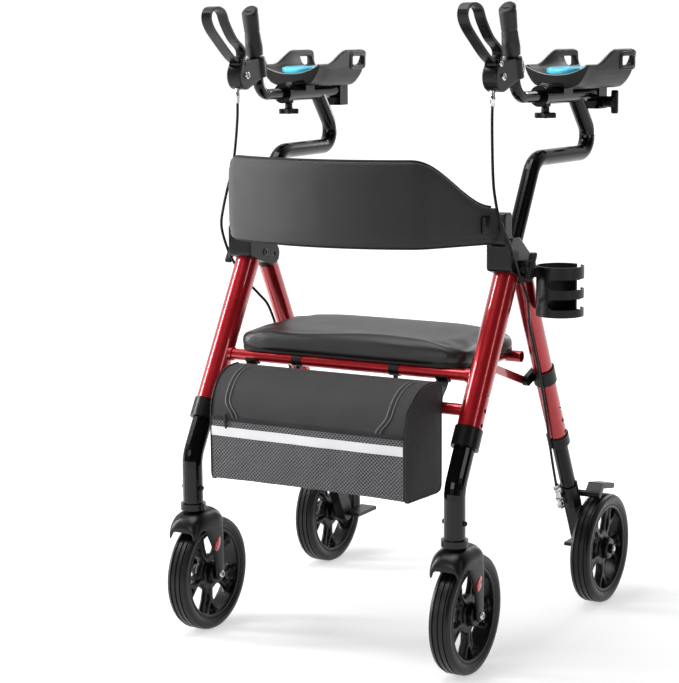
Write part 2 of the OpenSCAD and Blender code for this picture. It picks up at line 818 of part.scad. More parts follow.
// Seat pad: round corners, sides drawn in, a crown, and edges that roll over
function pad_spread(u, v) = (u == 0 && v == 0) ? 1
    : max(abs(u), abs(v))
        / pow(pow(abs(u), pad_corner_power) + pow(abs(v), pad_corner_power), 1 / pad_corner_power);
function pad_place(u, v, inset) = [
    (seat_half_w - inset) * u * pad_spread(u, v) * (1 - pad_draw_share * (1 - v * v)),
    seat_front_y + seat_depth / 2
        + (seat_depth / 2 - inset) * v * pad_spread(u, v) * (1 - pad_draw_share * (1 - u * u))
];
function pad_crown(u, v) =
    pad_low_share * seat_edge_t
    + (1 - pad_low_share) * seat_edge_t * sqrt(max(1 - pow(max(abs(u), abs(v)), 8), 0))
    + seat_crown * (1 - u * u) * (1 - v * v);
module seat_pad() color(black) {
    low = board_z + board_t + rest_gap;
    steps = function (n) [for (k = [0 : n]) sin(90 * (2 * k / n - 1))];
    top = [
        for (u = steps(pad_n)) [for (v = steps(pad_m)) concat(pad_place(u, v, 0), [low + pad_crown(u, v)])]
    ];
    bottom = [for (u = steps(pad_n)) [for (v = steps(pad_m)) concat(pad_place(u, v, board_inset), [low])]];
    slab(top, bottom);
}

// Inner legs
stem_route = [
    flat_point(on_front(front_inner_top_s)), flat_point(on_front(stem_corner_s)),
    flat_point([stem_y, stem_low_z])
];
module front_inner_leg() color(black) difference() {
    union() {
        bent_tube(stem_route, [stem_bend_r], [stem_bend_n], front_inner_od, inner_wall);
        at([stem_y, stem_low_z - stem_ring_h / 2])
            cylinder(d = front_inner_od + 2 * stem_ring_t, h = stem_ring_h);
        at([stem_y, stem_low_z - stem_ring_h / 4]) cylinder(d = front_inner_od - inner_wall, h = stem_plug_h);
    }
    at([stem_y, stem_low_z - stem_ring_h]) cylinder(r = stem_r + pin_gap, h = stem_plug_h);
    along_front(front_button_s) rotate([0, 90, 0]) cylinder(d = button_d + 2 * slide_gap, h = front_od);
}
module rear_inner_leg() color(black) difference() {
    along_rear(rear_inner_low_t) cylinder(d = rear_inner_od, h = rear_inner_len);
    along_rear(rear_inner_low_t + overrun)
        cylinder(d = rear_inner_od - 2 * inner_wall, h = rear_inner_len + 2 * overrun);
    along_rear(rear_button_t) rotate([0, 90, 0]) cylinder(d = button_d + 2 * slide_gap, h = rear_od);
}

// Snap button: a domed pin on a foot inside the inner leg
module snap_button(outer_d, inner_d) {
    bore_r = inner_d / 2 - inner_wall;
    foot = sqrt(bore_r * bore_r - button_foot_d * button_foot_d / 4) - rest_gap;
    rotate([0, 90, 0]) {
        translate([0, 0, foot - button_foot]) cylinder(d = button_foot_d, h = button_foot);
        translate([0, 0, foot - overrun]) cylinder(d = button_d, h = outer_d / 2 - foot + overrun);
        translate([0, 0, outer_d / 2])
            cylinder(d1 = button_d, d2 = button_d - button_proud, h = button_proud);
    }
}
module front_button() color(steel) along_front(front_button_s) snap_button(front_od, front_inner_od);
module rear_button() color(steel) along_rear(rear_button_t) snap_button(rear_od, rear_inner_od);

// Wheels, drawn round their own axle along X
module tyre() color(rubber) rotate([0, 90, 0]) rotate_extrude() difference() {
    half = tyre_w / 2;
    corner = tread_shoulder * shoulder_round_share;
    polygon([
        [wheel_r - tyre_t, -half * rim_w_share], [wheel_r - tyre_t + tread_shoulder, -half],
        [wheel_r - tread_shoulder, -half], [wheel_r - corner, -half + corner],
        [wheel_r, -half + tread_shoulder], [wheel_r, half - tread_shoulder],
        [wheel_r - corner, half - corner], [wheel_r - tread_shoulder, half],
        [wheel_r - tyre_t + tread_shoulder, half], [wheel_r - tyre_t, half * rim_w_share]
    ]);
    for (k = [-1 : 1]) translate([wheel_r - groove_t, k * tyre_w / 4 - groove_w / 2])
        square([groove_t + overrun, groove_w]);
}

// Spoke outline: one stem from the hub that parts into two branches
module spoke() {
    rim_in = wheel_r - tyre_t - rim_t / 2;
    fork = hub_r + (rim_in - hub_r) * spoke_fork_share;
    half = spoke_w / 2;
    polygon([
        [hub_r - half, -half], [fork, -half], [rim_in, -spoke_spread - half], [rim_in, -spoke_spread + half],
        [fork + spoke_w, 0], [rim_in, spoke_spread - half], [rim_in, spoke_spread + half], [fork, half],
        [hub_r - half, half]
    ]);
}
module wheel_rim() color(black) {
    rim_r = wheel_r - tyre_t;
    rim_half = tyre_w / 2 * rim_w_share;
    rotate([0, 90, 0]) {
        difference() {
            union() {
                difference() {
                    cylinder(r = rim_r, h = 2 * rim_half, center = true);
                    cylinder(r = rim_r - rim_t, h = 2 * rim_half + overrun, center = true);
                }
                cylinder(r = hub_r, h = 2 * hub_half_w, center = true);
                for (k = [0 : spoke_n - 1]) rotate(k * 360 / spoke_n)
                    linear_extrude(spoke_t, center = true) spoke();
            }
            cylinder(r = axle_r + pass_gap, h = 2 * hub_half_w + overrun, center = true);
            for (k = [-1, 1]) translate([0, 0, k * hub_half_w])
                cylinder(d = bearing_od, h = 2 * bearing_w, center = true);
        }
        for (k = [-1, 1]) translate([0, 0, k * (hub_half_w - bearing_w / 2)]) difference() {
            cylinder(d = bearing_od, h = bearing_w, center = true);
            cylinder(r = axle_r + pin_gap, h = bearing_w + overrun, center = true);
        }
    }
}
module at_front_wheel() translate([0, front_axle_y, wheel_r]) children();
module at_rear_wheel() translate([rear_wheel_x, rear_axle_y, wheel_r]) children();

// Caster fork with its stem, hood, arms and axle bolt
module fork() color(satin) {
    difference() {
        union() {
            at([stem_y, fork_top_z - fork_hood_r]) cylinder(r = stem_r, h = fork_hood_r + stem_pin_h);
            hull() for (x = [-1, 1]) for (y = [-fork_hood_front, fork_hood_rear])
                translate([x * fork_hood_half_w, stem_y + y, fork_top_z - fork_hood_r])
                    sphere(fork_hood_r, $fn = ball_fn);
            for (side = [-1, 1]) across_from(side > 0 ? fork_in : -fork_in - fork_arm_t, fork_arm_t) hull() {
                spot([stem_y + fork_hood_front, fork_top_z - fork_shoulder_r - fork_clear], fork_shoulder_r);
                spot([front_axle_y - fork_clear, wheel_r + fork_knee_up], fork_knee_r);
                spot([front_axle_y, wheel_r], fork_boss_r);
            }
        }
        at_front_wheel() rotate([0, 90, 0])
            cylinder(r = wheel_r + fork_clear, h = 2 * fork_in, center = true);
    }
    at_front_wheel() rotate([0, 90, 0]) {
        cylinder(r = axle_r, h = 2 * (fork_in + fork_arm_t) + fork_head_t, center = true);
        for (k = [-1, 1]) translate([0, 0, k * (fork_in + fork_arm_t + fork_head_t / 2)])
            cylinder(r = fork_head_r, h = fork_head_t, center = true);
    }
}

// Rear axle bracket: socket on the inner leg, arm, axle, brake pin, cable adjuster and tip pedal
module axle_bracket() color(satin) {
    socket_t = rear_inner_low_t + bracket_lip;
    difference() {
        union() {
            along_rear(socket_t) cylinder(d = rear_inner_od + 2 * bracket_t, h = bracket_len);
            across(bracket_w) hull() {
                spot(on_rear(socket_t - bracket_boss_r), bracket_boss_r);
                spot([rear_axle_y, wheel_r], bracket_boss_r);
            }
            across(bracket_w) hull() {
                spot(brake_pivot, brake_eye_r);
                spot(on_rear(socket_t - bracket_len / 2), brake_eye_r);
            }
            at(brake_pivot) rotate([0, 90, 0]) cylinder(r = brake_pin_r, h = brake_out);
            at([rear_axle_y, wheel_r]) translate([-bracket_axle_in, 0, 0]) rotate([0, 90, 0])
                cylinder(r = axle_r, h = bracket_axle_in + rear_wheel_x + hub_half_w + axle_nut_t);
            at([rear_axle_y, wheel_r]) translate([rear_wheel_x + hub_half_w + rest_gap, 0, 0])
                rotate([0, 90, 0]) cylinder(r = axle_nut_r, h = axle_nut_t);
            translate([-bracket_w / 2 - pedal_w, rear_axle_y + pedal_y, wheel_r - pedal_drop])
                cube([pedal_w + bracket_w / 2, pedal_len, pedal_t]);
            across_from(-bracket_w / 2 - pedal_w, pedal_w + bracket_w / 2) hull() {
                spot([rear_axle_y, wheel_r - pedal_drop + pedal_t / 2], pedal_t / 2);
                spot([rear_axle_y + pedal_y, wheel_r - pedal_drop + pedal_t / 2], pedal_t / 2);
            }
            cable_stop();
        }
        along_rear(rear_inner_low_t) cylinder(d = rear_inner_od, h = rear_inner_len);
    }
}
// Barrel adjuster that the brake cable ends in, on a lug of the bracket
module cable_stop() {
    last = cable_route[len(cable_route) - 1];
    lug = rear_inner_low_t - bracket_len / 2;
    translate(last) rotate([rear_lean, 0, 0]) translate([0, 0, -adjuster_len]) {
        cylinder(r = adjuster_r, h = adjuster_len - rest_gap);
        for (share = adjuster_nut_shares) translate([0, 0, share * adjuster_len])
            cylinder(r = adjuster_nut_r, h = adjuster_nut_t);
    }
    hull() {
        translate(last) rotate([rear_lean, 0, 0]) translate([0, 0, -adjuster_len * adjuster_lug_share])
            cylinder(r = adjuster_r, h = adjuster_nut_t);
        along_rear(lug) translate([0, 0, -adjuster_nut_t]) cylinder(r = adjuster_nut_r, h = adjuster_nut_t);
    }
}

// Brake arm: a sleeve on its pin and a bar over the tyre with a toothed underside
module brake_arm() color(black) {
    tip = brake_pivot;
    knee = tip + brake_knee;
    far = tip + brake_far;
    difference() {
        union() {
            at(tip) translate([bracket_w / 2 + pass_gap, 0, 0]) rotate([0, 90, 0])
                cylinder(r = brake_eye_r, h = brake_out - bracket_w / 2 - pass_gap - rest_gap);
            across_from(brake_in, brake_out - brake_in - rest_gap) {
                hull() { spot(tip, brake_bar_r); spot(knee, brake_bar_r); }
                hull() { spot(knee, brake_bar_r); spot(far, brake_bar_r); }
            }
            for (k = [0 : brake_tooth_n - 1]) translate([brake_in, 0, 0])
                at(knee + (far - knee) * (k + 0.5) / brake_tooth_n - [0, brake_bar_r])
                    rotate([45, 0, 0]) cube([brake_out - brake_in - rest_gap, brake_tooth_t, brake_tooth_t]);
        }
        at(tip) rotate([0, 90, 0]) cylinder(r = brake_pin_r + pin_gap, h = brake_out + overrun);
        at_rear_wheel() rotate([0, 90, 0])
            cylinder(r = wheel_r + brake_gap, h = tyre_w + 2 * brake_gap, center = true);
    }
}

// Armrest post: a bent tube that carries the sleeve, its end ring, its saddle, its clamp and the knob boss
post_route = [
    flat_point(on_front(post_low_s)), flat_point([post_corner_y, post_level_z]),
    toed_point([post_bend_y, post_level_z]), toed_point([post_top_y, sleeve_z])
];
module along_sleeve(y) at([y, sleeve_z]) rotate([-90, 0, 0]) children();
module armrest_post() color(black) difference() {
    union() {
        bent_tube(post_route, [post_bend_r, post_tight_r], [post_bend_n, post_tight_n], post_od, post_wall);
        toed() {
            along_sleeve(sleeve_front_y) cylinder(d = sleeve_od, h = sleeve_rear_y - sleeve_front_y);
            along_sleeve(sleeve_front_y) cylinder(d = sleeve_od + 2 * sleeve_ring_t, h = sleeve_ring_w);
            translate([-sleeve_clamp_half_w, sleeve_rear_y - sleeve_clamp_len, sleeve_z - sleeve_clamp_drop])
                cube([2 * sleeve_clamp_half_w, sleeve_clamp_len, sleeve_clamp_drop + sleeve_seat_h]);
            translate([-sleeve_od / 2, sleeve_saddle_y, sleeve_z])
                cube([sleeve_od, sleeve_saddle_len, sleeve_seat_h]);
            at([star_y, sleeve_z - sleeve_seat_h]) cylinder(r = star_hub_r, h = sleeve_seat_h);
        }
    }
    toed() {
        along_sleeve(sleeve_front_y - overrun)
            cylinder(d = handle_d + 2 * slide_gap, h = sleeve_rear_y - sleeve_front_y + 2 * overrun);
        at([star_y, sleeve_z - sleeve_od]) cylinder(r = screw_r + pin_gap, h = sleeve_od);
        at([tray_knob_y, tray_knob_z]) rotate([0, 90, 0])
            cylinder(r = screw_r + pin_gap, h = 2 * sleeve_clamp_half_w);
    }
}

// Star knob under the sleeve, with its screw
module star_knob() color(black) toed() at([star_y, sleeve_z - sleeve_seat_h - rest_gap]) {
    translate([0, 0, -star_hub_h]) cylinder(r = star_neck_r, h = star_hub_h);
    translate([0, 0, -star_hub_h - star_t]) {
        cylinder(r = star_r - star_lobe_r, h = star_t);
        for (k = [0 : star_lobe_n - 1]) rotate(k * 360 / star_lobe_n)
            translate([star_r - star_lobe_r, 0, 0]) cylinder(r = star_lobe_r, h = star_t);
    }
    translate([0, 0, -star_hub_h])
        cylinder(r = screw_r, h = star_hub_h + sleeve_seat_h - handle_d / 2 - slide_gap);
}

// Wing knob: a hub along X with two flat wings and a screw towards the frame
module wing_knob(hub_len, wing, screw_len) {
    rotate([0, 90, 0]) {
        cylinder(r = wing_hub_r, h = hub_len);
        translate([0, 0, -screw_len]) cylinder(r = screw_r, h = screw_len + overrun);
        translate([0, 0, hub_len - wing_w / 2]) linear_extrude(wing_w) union() {
            translate([-wing + wing_t / 2, -wing_t / 2]) square([2 * wing - wing_t, wing_t]);
            for (k = [-1, 1]) translate([k * (wing - wing_t / 2), 0]) circle(wing_t / 2);
        }
    }
}
module post_knob() color(black) along_front(lock_s) translate([joint_w / 2 + rest_gap, 0, 0])
    wing_knob(post_knob_hub, post_knob_wing, joint_w / 2 - post_od / 2 - slide_gap);
module tray_knob() color(black) toed() at([tray_knob_y, tray_knob_z])
    translate([sleeve_clamp_half_w + rest_gap, 0, 0])
        wing_knob(tray_knob_hub, tray_knob_wing, sleeve_clamp_half_w - screw_r);

// Forearm tray: a trough that is open at both ends, with low walls in front, wings behind and a skirt
// on each side of its sleeve
function ease(a, b, t) = let (k = min(max((t - a) / (b - a), 0), 1)) k * k * (3 - 2 * k);
function tray_wall(t) = tray_side_h
    + (tray_wing_h - tray_side_h) * ease(tray_rise_shares[0], tray_rise_shares[1], t);
function tray_round(t) = 2 + 3 * ease(0, tray_rise_shares[1], t);
function tray_skirt(u) =
    let (start = sleeve_clamp_half_w + pass_gap - sign(u) * tray_x)
    tray_skirt_h * ease(start, start + tray_skirt_run, abs(u) * tray_half_w)
        * (1 - ease(tray_skirt_share, 1, abs(u)));
function tray_outer(t, u) = tray_wall(t)
    * (1 - pow(max(1 - pow(abs(u), tray_round(t)), 0), 1 / tray_round(t))) - tray_skirt(u);
function tray_inner(t, u) = tray_floor_h
    + (tray_wall(t) - tray_floor_h) * pow(abs(u), 2.2 + 2 * ease(0, 1, t));
function tray_rear(t, h) = tray_len * t
    * (1 - tray_rear_cut_share * ease(1 / 2, 1, t) * (1 - h / tray_wing_h));
module forearm_tray() color(black) toed() translate([tray_x, tray_front_y, tray_z]) difference() {
    us = [for (k = [0 : tray_m]) sin(90 * (2 * k / tray_m - 1))];
    ts = [for (k = [0 : tray_n]) k / tray_n];
    top = [
        for (t = ts) [
            for (u = us) let (h = tray_inner(t, u))
                [(tray_half_w - tray_t * pow(abs(u), 9)) * u, tray_rear(t, h), h]
        ]
    ];
    bottom = [for (t = ts) [for (u = us) let (h = tray_outer(t, u)) [tray_half_w * u, tray_rear(t, h), h]]];
    slab(top, bottom);
    for (side = [-1, 1]) translate([
        side * tray_half_w - tray_half_w / 2, tray_len * tray_slot_y_share - tray_slot_len / 2,
        tray_wing_h * tray_slot_z_share - tray_slot_h / 2
    ]) cube([tray_half_w, tray_slot_len, tray_slot_h]);
}

// Gel pad on the floor of the trough: a long part, a waist and a short part
function bump(t, at, run) = exp(-pow((t - at) / run, 2));
function gel_dip(t) = bump(t, gel_waist_at_share, gel_waist_run_share);
function gel_end(t, power) = sqrt(max(1 - pow(abs(2 * t - 1), power), 0));
function gel_place(t, u) = [
    gel_half_w * (1 - gel_waist_share * gel_dip(t)) * max(gel_end(t, 9), gel_waist_share) * u,
    gel_margin + tray_len * gel_len_share * t
];
function gel_floor(q) = tray_inner(q[1] / tray_len, q[0] / tray_half_w) + gel_gap;
function gel_rise(t, u) = gel_t * (1 - gel_groove_share * gel_dip(t))
    * (gel_edge_share + (1 - gel_edge_share) * sqrt(max(1 - pow(u, 6), 0)) * gel_end(t, 12));
module gel_pad() color(cyan) toed() translate([tray_x, tray_front_y, tray_z]) {
    us = [for (k = [0 : gel_m]) sin(90 * (2 * k / gel_m - 1))];
    ts = [for (k = [0 : gel_n]) k / gel_n];
    slab(
        [for (t = ts) [for (u = us) let (q = gel_place(t, u)) [q[0], q[1], gel_floor(q) + gel_rise(t, u)]]],
        [for (t = ts) [for (u = us) let (q = gel_place(t, u)) [q[0], q[1], gel_floor(q)]]]
    );
}

// Handle tube, grip, brake housing and lever, placed from the corner of the handle tube
handle_corner = [handle_bend_y, sleeve_z];
grip_way = [-sin(grip_lean), cos(grip_lean)];
handle_route = [
    flat_point([handle_end_y, sleeve_z]), flat_point(handle_corner),
    flat_point(handle_corner + grip_way * (grip_low + grip_len - grip_end_t))
];
module on_grip(h) at(handle_corner + grip_way * h) rotate([grip_lean, 0, 0]) children();
module handle() color(black) toed()
    bent_tube(handle_route, [handle_bend_r], [handle_bend_n], handle_d, handle_wall);
module grip() color(black) toed() on_grip(grip_low) difference() {
    union() {
        cylinder(d = grip_od, h = grip_len);
        for (h = [0, grip_len - grip_end_t]) translate([0, 0, h])
            cylinder(d = grip_od + grip_flare, h = grip_end_t);
    }
    translate([0, 0, -overrun]) cylinder(d = handle_d, h = grip_len - grip_end_t + overrun);
}
pod = handle_corner + pod_place;
lever_pivot = handle_corner + lever_place;
module brake_housing() color(satin) difference() {
    union() {
        toed() {
            on_grip(housing_low) cylinder(r = housing_r, h = housing_high - housing_low);
            across(housing_w) hull() {
                spot(pod, pod_r);
                spot(handle_corner + grip_way * (housing_low + housing_high) / 2, housing_r);
            }
            across(housing_w) hull() {
                spot(lever_pivot, lever_hub_r + rest_gap);
                spot(pod, lever_hub_r + rest_gap);
            }
        }
        translate(cable_route[0] + [0, 0, rest_gap]) cylinder(r = ferrule_r, h = ferrule_h);
    }
    toed() {
        on_grip(0) cylinder(d = handle_d, h = grip_low + grip_len);
        across(lever_slot_w) hull() {
            spot(lever_pivot, lever_hub_r + pass_gap);
            spot(lever_pivot + lever_heel, lever_hub_r + pass_gap);
            spot(lever_pivot + [-lever_reach, lever_rise], lever_rise / 2);
        }
        at(lever_pivot) rotate([0, 90, 0])
            cylinder(r = lever_pin_r + pin_gap, h = housing_w + overrun, center = true);
    }
}
module brake_lever() color(black) toed() at(lever_pivot) {
    loop = closed_curve([for (q = lever_loop_shares) [-q[0] * lever_reach, q[1] * lever_rise]], lever_step_n);
    across(lever_w) {
        difference() {
            polygon(loop);
            offset(delta = -lever_t) polygon(loop);
        }
        circle(lever_hub_r);
    }
    rotate([0, 90, 0]) cylinder(r = lever_pin_r, h = housing_w, center = true);
}

// Brake cable from the housing to the adjuster
module brake_cable() color(rubber) cord(open_curve(cable_route, cable_step_n), cable_d, cable_side_n);

// Backrest band: plan curve by arc length from the middle, and edges that fall towards the ends
band_front_turn = asin(band_front_half / band_front_r);
band_corner_at = [band_front_half, band_front_y + band_front_r * (1 - cos(band_front_turn))];
function band_corner_end(turn) = band_corner_at
    + band_corner_r * [sin(turn) - sin(band_front_turn), cos(band_front_turn) - cos(turn)];
band_turns = [for (a = [band_front_turn : 0.5 : 88])
    let (e = band_corner_end(a), way = [band_end_x, band_end_y] - e) if (atan2(way[1], way[0]) <= a) a];
band_turn = band_turns[0];
band_straight_at = band_corner_end(band_turn);
band_lengths = [
    band_front_r * band_front_turn * PI / 180, band_corner_r * (band_turn - band_front_turn) * PI / 180,
    norm([band_end_x, band_end_y] - band_straight_at)
];
band_half = band_lengths[0] + band_lengths[1] + band_lengths[2];
function band_angle(s) =
    s < band_lengths[0] ? s / band_front_r * 180 / PI
    : s < band_lengths[0] + band_lengths[1]
        ? band_front_turn + (s - band_lengths[0]) / band_corner_r * 180 / PI
    : band_turn;
function band_plan(s) =
    s < band_lengths[0]
        ? [band_front_r * sin(band_angle(s)), band_front_y + band_front_r * (1 - cos(band_angle(s)))]
    : s < band_lengths[0] + band_lengths[1] ? band_corner_end(band_angle(s))
    : band_straight_at
        + (s - band_lengths[0] - band_lengths[1]) * unit([band_end_x, band_end_y] - band_straight_at);
function band_tall(share) = band_end_h + (band_h - band_end_h) * (1 - ease(band_taper_share, 1, share));
function band_skin(u, v, face) =
    let (
        s = abs(u) * band_half,
        way = u < 0 ? -1 : 1,
        q = band_plan(s),
        tall = band_tall(abs(u)),
        a = band_angle(s) + (90 - band_angle(s)) * ease(band_square_share, 1, abs(u)),
        thick = band_t / 2 * (band_edge_share + (1 - band_edge_share) * sqrt(max(1 - pow(abs(v), 4), 0)))
    )
    [way * (q[0] + face * thick * sin(a)), q[1] - face * thick * cos(a), band_low_z + tall * (v + 1) / 2];
module backrest_band() color(black) {
    us = [for (k = [0 : band_n]) 2 * k / band_n - 1];
    vs = [for (k = [0 : band_m]) sin(90 * (2 * k / band_m - 1))];
    slab(
        [for (u = us) [for (v = vs) band_skin(u, v, 1)]],
        [for (u = us) [for (v = vs) band_skin(u, v, -1)]]
    );
}

// Bag: a side outline with a round top front, cut to a plan that widens to the rear
module storage_bag() color(black) intersection() {
    front = bag_rear_y - bag_depth;
    across(2 * (bag_half_w + bag_flare)) polygon(concat(
        [[front, bag_z], [bag_rear_y, bag_z], [bag_rear_y, bag_z + bag_h - bag_edge_r]],
        [for (k = [1 : bag_edge_n]) [bag_rear_y - bag_edge_r, bag_z + bag_h - bag_edge_r]
            + bag_edge_r * [cos(90 * k / bag_edge_n), sin(90 * k / bag_edge_n)]],
        [for (k = [0 : bag_arc_n]) [front + bag_top_r, bag_z + bag_h - bag_top_r]
            + bag_top_r * [-sin(90 * k / bag_arc_n), cos(90 * k / bag_arc_n)]]
    ));
    linear_extrude(2 * (bag_z + bag_h)) polygon([
        [-bag_half_w, front], [bag_half_w, front],
        [bag_half_w + bag_flare, bag_rear_y], [-bag_half_w - bag_flare, bag_rear_y]
    ]);
}

// Cup holder: a cup with a floor, two windows and a slit, on an arm from the left frame joint
module cup_holder() color(black) left() translate([cup_x, cup_y, cup_z]) {
    out = cup_r + cup_wall;
    difference() {
        union() {
            cylinder(r = out, h = cup_h);
            translate([joint_w / 2 + rest_gap - cup_x, pivot_y - cup_y - cup_arm_w / 2, cup_arm_z - cup_z])
                cube([cup_x - joint_w / 2, cup_arm_w, cup_arm_h]);
        }
        translate([0, 0, cup_floor]) cylinder(r = cup_r, h = cup_h);
        for (share = cup_window_z_shares) for (turn = cup_window_turns) translate([0, 0, cup_h * share])
            rotate([0, 90, turn]) linear_extrude(2 * out) hull() for (k = [-1, 1])
                translate([0, k * (cup_r - cup_window_h)]) circle(d = cup_window_h, $fn = hull_fn);
        translate([0, 0, cup_floor + cup_wall]) rotate(cup_slit_turn) translate([0, -cup_slit / 2, 0])
            cube([2 * out, cup_slit, cup_h]);
    }
}

front_frame();
left() joint_block();  // left_joint
right() joint_block();  // right_joint
front_collars();
backrest_band();
storage_bag();
cup_holder();
left() rear_leg();  // left_rear_leg
right() rear_leg();  // right_rear_leg
left() rear_fittings();  // left_rear_fittings
right() rear_fittings();  // right_rear_fittings
left() seat_link();  // left_seat_link
right() seat_link();  // right_seat_link
seat_frame();
seat_board();
seat_pad();
left() front_inner_leg();  // left_front_inner_leg
right() front_inner_leg();  // right_front_inner_leg
left() rear_inner_leg();  // left_rear_inner_leg
right() rear_inner_leg();  // right_rear_inner_leg
left() front_button();  // left_front_button
right() front_button();  // right_front_button
left() rear_button();  // left_rear_button
right() rear_button();  // right_rear_button
left() fork();  // left_fork
right() fork();  // right_fork
left() at_front_wheel() wheel_rim();  // left_front_rim
right() at_front_wheel() wheel_rim();  // right_front_rim
left() at_front_wheel() tyre();  // left_front_tyre
right() at_front_wheel() tyre();  // right_front_tyre
left() at_rear_wheel() wheel_rim();  // left_rear_rim
right() at_rear_wheel() wheel_rim();  // right_rear_rim
left() at_rear_wheel() tyre();  // left_rear_tyre
right() at_rear_wheel() tyre();  // right_rear_tyre
left() axle_bracket();  // left_axle_bracket
right() axle_bracket();  // right_axle_bracket
left() brake_arm();  // left_brake_arm
right() brake_arm();  // right_brake_arm
left() armrest_post();  // left_post
right() armrest_post();  // right_post
left() forearm_tray();  // left_tray
right() forearm_tray();  // right_tray
left() gel_pad();  // left_gel_pad
right() gel_pad();  // right_gel_pad
left() star_knob();  // left_star_knob
right() star_knob();  // right_star_knob
left() tray_knob();  // left_tray_knob
right() tray_knob();  // right_tray_knob
left() post_knob();  // left_post_knob
right() post_knob();  // right_post_knob
left() handle();  // left_handle
right() handle();  // right_handle
left() grip();  // left_grip
right() grip();  // right_grip
left() brake_housing();  // left_brake_housing
right() brake_housing();  // right_brake_housing
left() brake_lever();  // left_brake_lever
right() brake_lever();  // right_brake_lever
left() brake_cable();  // left_cable
right() brake_cable();  // right_cable
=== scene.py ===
"""Looks of an upright walker: finishes for its solid parts, soft goods, trim, cables, light and camera."""

import math

import bmesh
import bpy
import numpy as np
from mathutils import Matrix, Vector, noise


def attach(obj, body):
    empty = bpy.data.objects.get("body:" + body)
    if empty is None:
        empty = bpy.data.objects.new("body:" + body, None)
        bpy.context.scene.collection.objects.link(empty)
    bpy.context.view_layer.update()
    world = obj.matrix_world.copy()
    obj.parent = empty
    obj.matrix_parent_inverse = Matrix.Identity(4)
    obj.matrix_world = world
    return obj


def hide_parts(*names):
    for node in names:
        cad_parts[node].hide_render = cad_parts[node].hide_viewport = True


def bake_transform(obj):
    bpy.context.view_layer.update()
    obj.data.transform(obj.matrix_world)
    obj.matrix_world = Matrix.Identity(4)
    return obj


bl_info = {
    "name": "Upright walker looks",
    "version": (1, 0, 0),
    "blender": (4, 5, 0),
    "location": "View3D > Sidebar > Walker",
    "description": "Dresses the solid parts of an upright walker and adds its soft goods and trim",
    "category": "Object",
}

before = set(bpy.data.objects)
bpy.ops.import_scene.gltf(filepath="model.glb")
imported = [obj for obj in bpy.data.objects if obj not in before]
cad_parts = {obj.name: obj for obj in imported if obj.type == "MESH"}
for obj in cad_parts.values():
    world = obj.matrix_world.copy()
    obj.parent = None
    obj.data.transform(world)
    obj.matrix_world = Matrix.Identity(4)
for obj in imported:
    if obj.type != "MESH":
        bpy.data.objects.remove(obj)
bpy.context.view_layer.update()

MM = 0.001
SIDES = (("left", 1), ("right", -1))

# Lengths and places of the solid model that the pieces here are set against, in millimetres
LEG_X = 254.0
ARM_TURN_Y = 45.61
ARM_TOE = math.radians(3)
FRONT_STEM_Y = -248.5
FRONT_AXLE = (0.0, -208.5, 100.0)
REAR_AXLE = (36.0, 273.24, 100.0)
REAR_LEAN = math.radians(27)
HANDLE_CORNER = (-21.0, 930.0)
GRIP_LEAN = math.radians(12)
GRIP_LOW = 72.0
SEAT_TUBE = (-152, 483.7)
SEAT_HALF = (228, 122.5)
SEAT_MIDDLE_Y = -46.5
CROSS_BAR = (-171.7, 430)
TRAY_CORNER = (8, 108, 948.3)
TRAY_LONG = 200
TRAY_TALL = 58


def linear(text):
    """An sRGB hex colour as linear red, green, blue and alpha."""
    shares = [int(text[i : i + 2], 16) / 255 for i in (0, 2, 4)]
    return tuple(s / 12.92 if s <= 0.04045 else ((s + 0.055) / 1.055) ** 2.4 for s in shares) + (1.0,)


def colour(label, text, words):
    """A colour property with its default as a hex value."""
    return bpy.props.FloatVectorProperty(
        name=label, description=words, subtype="COLOR", size=4, min=0, max=1, default=linear(text)
    )


def length(label, value, words):
    """A length property in metres, with its default in millimetres."""
    return bpy.props.FloatProperty(
        name=label, description=words, unit="LENGTH", subtype="DISTANCE", min=0, default=value * MM
    )


class WalkerColours(bpy.types.PropertyGroup):
    """Colours of the walker's finishes."""

    red: colour("Frame red", "A50E1A", "Candy red of the frame tubes")
    black: colour("Enamel black", "060607", "Gloss black of the posts and inner legs")
    plastic: colour("Plastic black", "0E0E0F", "Black of the moulded fittings")
    tray: colour("Tray grey", "141415", "Charcoal of the forearm trays")
    gel: colour("Gel blue", "45C6E8", "Blue of the forearm gel pads")
    vinyl: colour("Vinyl black", "0C0C0D", "Black of the seat cover")
    band: colour("Band grey", "232325", "Charcoal of the backrest band")
    bag: colour("Bag grey", "202022", "Charcoal of the bag's cloth")
    reflector: colour("Reflector red", "D3161C", "Red of the fork reflectors")


class WalkerSizes(bpy.types.PropertyGroup):
    """Sizes of the soft goods and trim."""

    piping_r: length("Piping radius", 1.9, "Radius of the sewn edge piping on the bag")
    strip_h: length("Strip height", 16, "Height of the bag's reflective strip")
    mesh_top: length("Net top", 400, "Height over the floor of the bag's net panel")
    hem: length("Hem width", 9, "Width of the backrest band's sewn hem")
    dimple: length("Dimple spacing", 4.2, "Spacing of the gel pad's dimples")
    cable_d: length("Cable diameter", 5, "Diameter of the brake cables")
    seat_swell: length("Seat swell", 3.5, "How far the seat's foam may swell its cover")


# Node helpers


def wire(tree, node, links):
    """Links a node's inputs to sockets, or sets them to values."""
    for key, value in links.items():
        if isinstance(value, bpy.types.NodeSocket):
            tree.links.new(value, node.inputs[key])
        else:
            node.inputs[key].default_value = value


def add(tree, kind, links=None, out=0, **settings):
    """Adds one node, sets its settings, links or sets its inputs, and gives one of its outputs."""
    node = tree.nodes.new("ShaderNode" + kind)
    for key, value in settings.items():
        setattr(node, key, value)
    wire(tree, node, links or {})
    return node.outputs[out]


def per(millimetres):
    """Pattern scale, in repeats per metre, of a spacing in millimetres."""
    return 1 / (millimetres * MM)


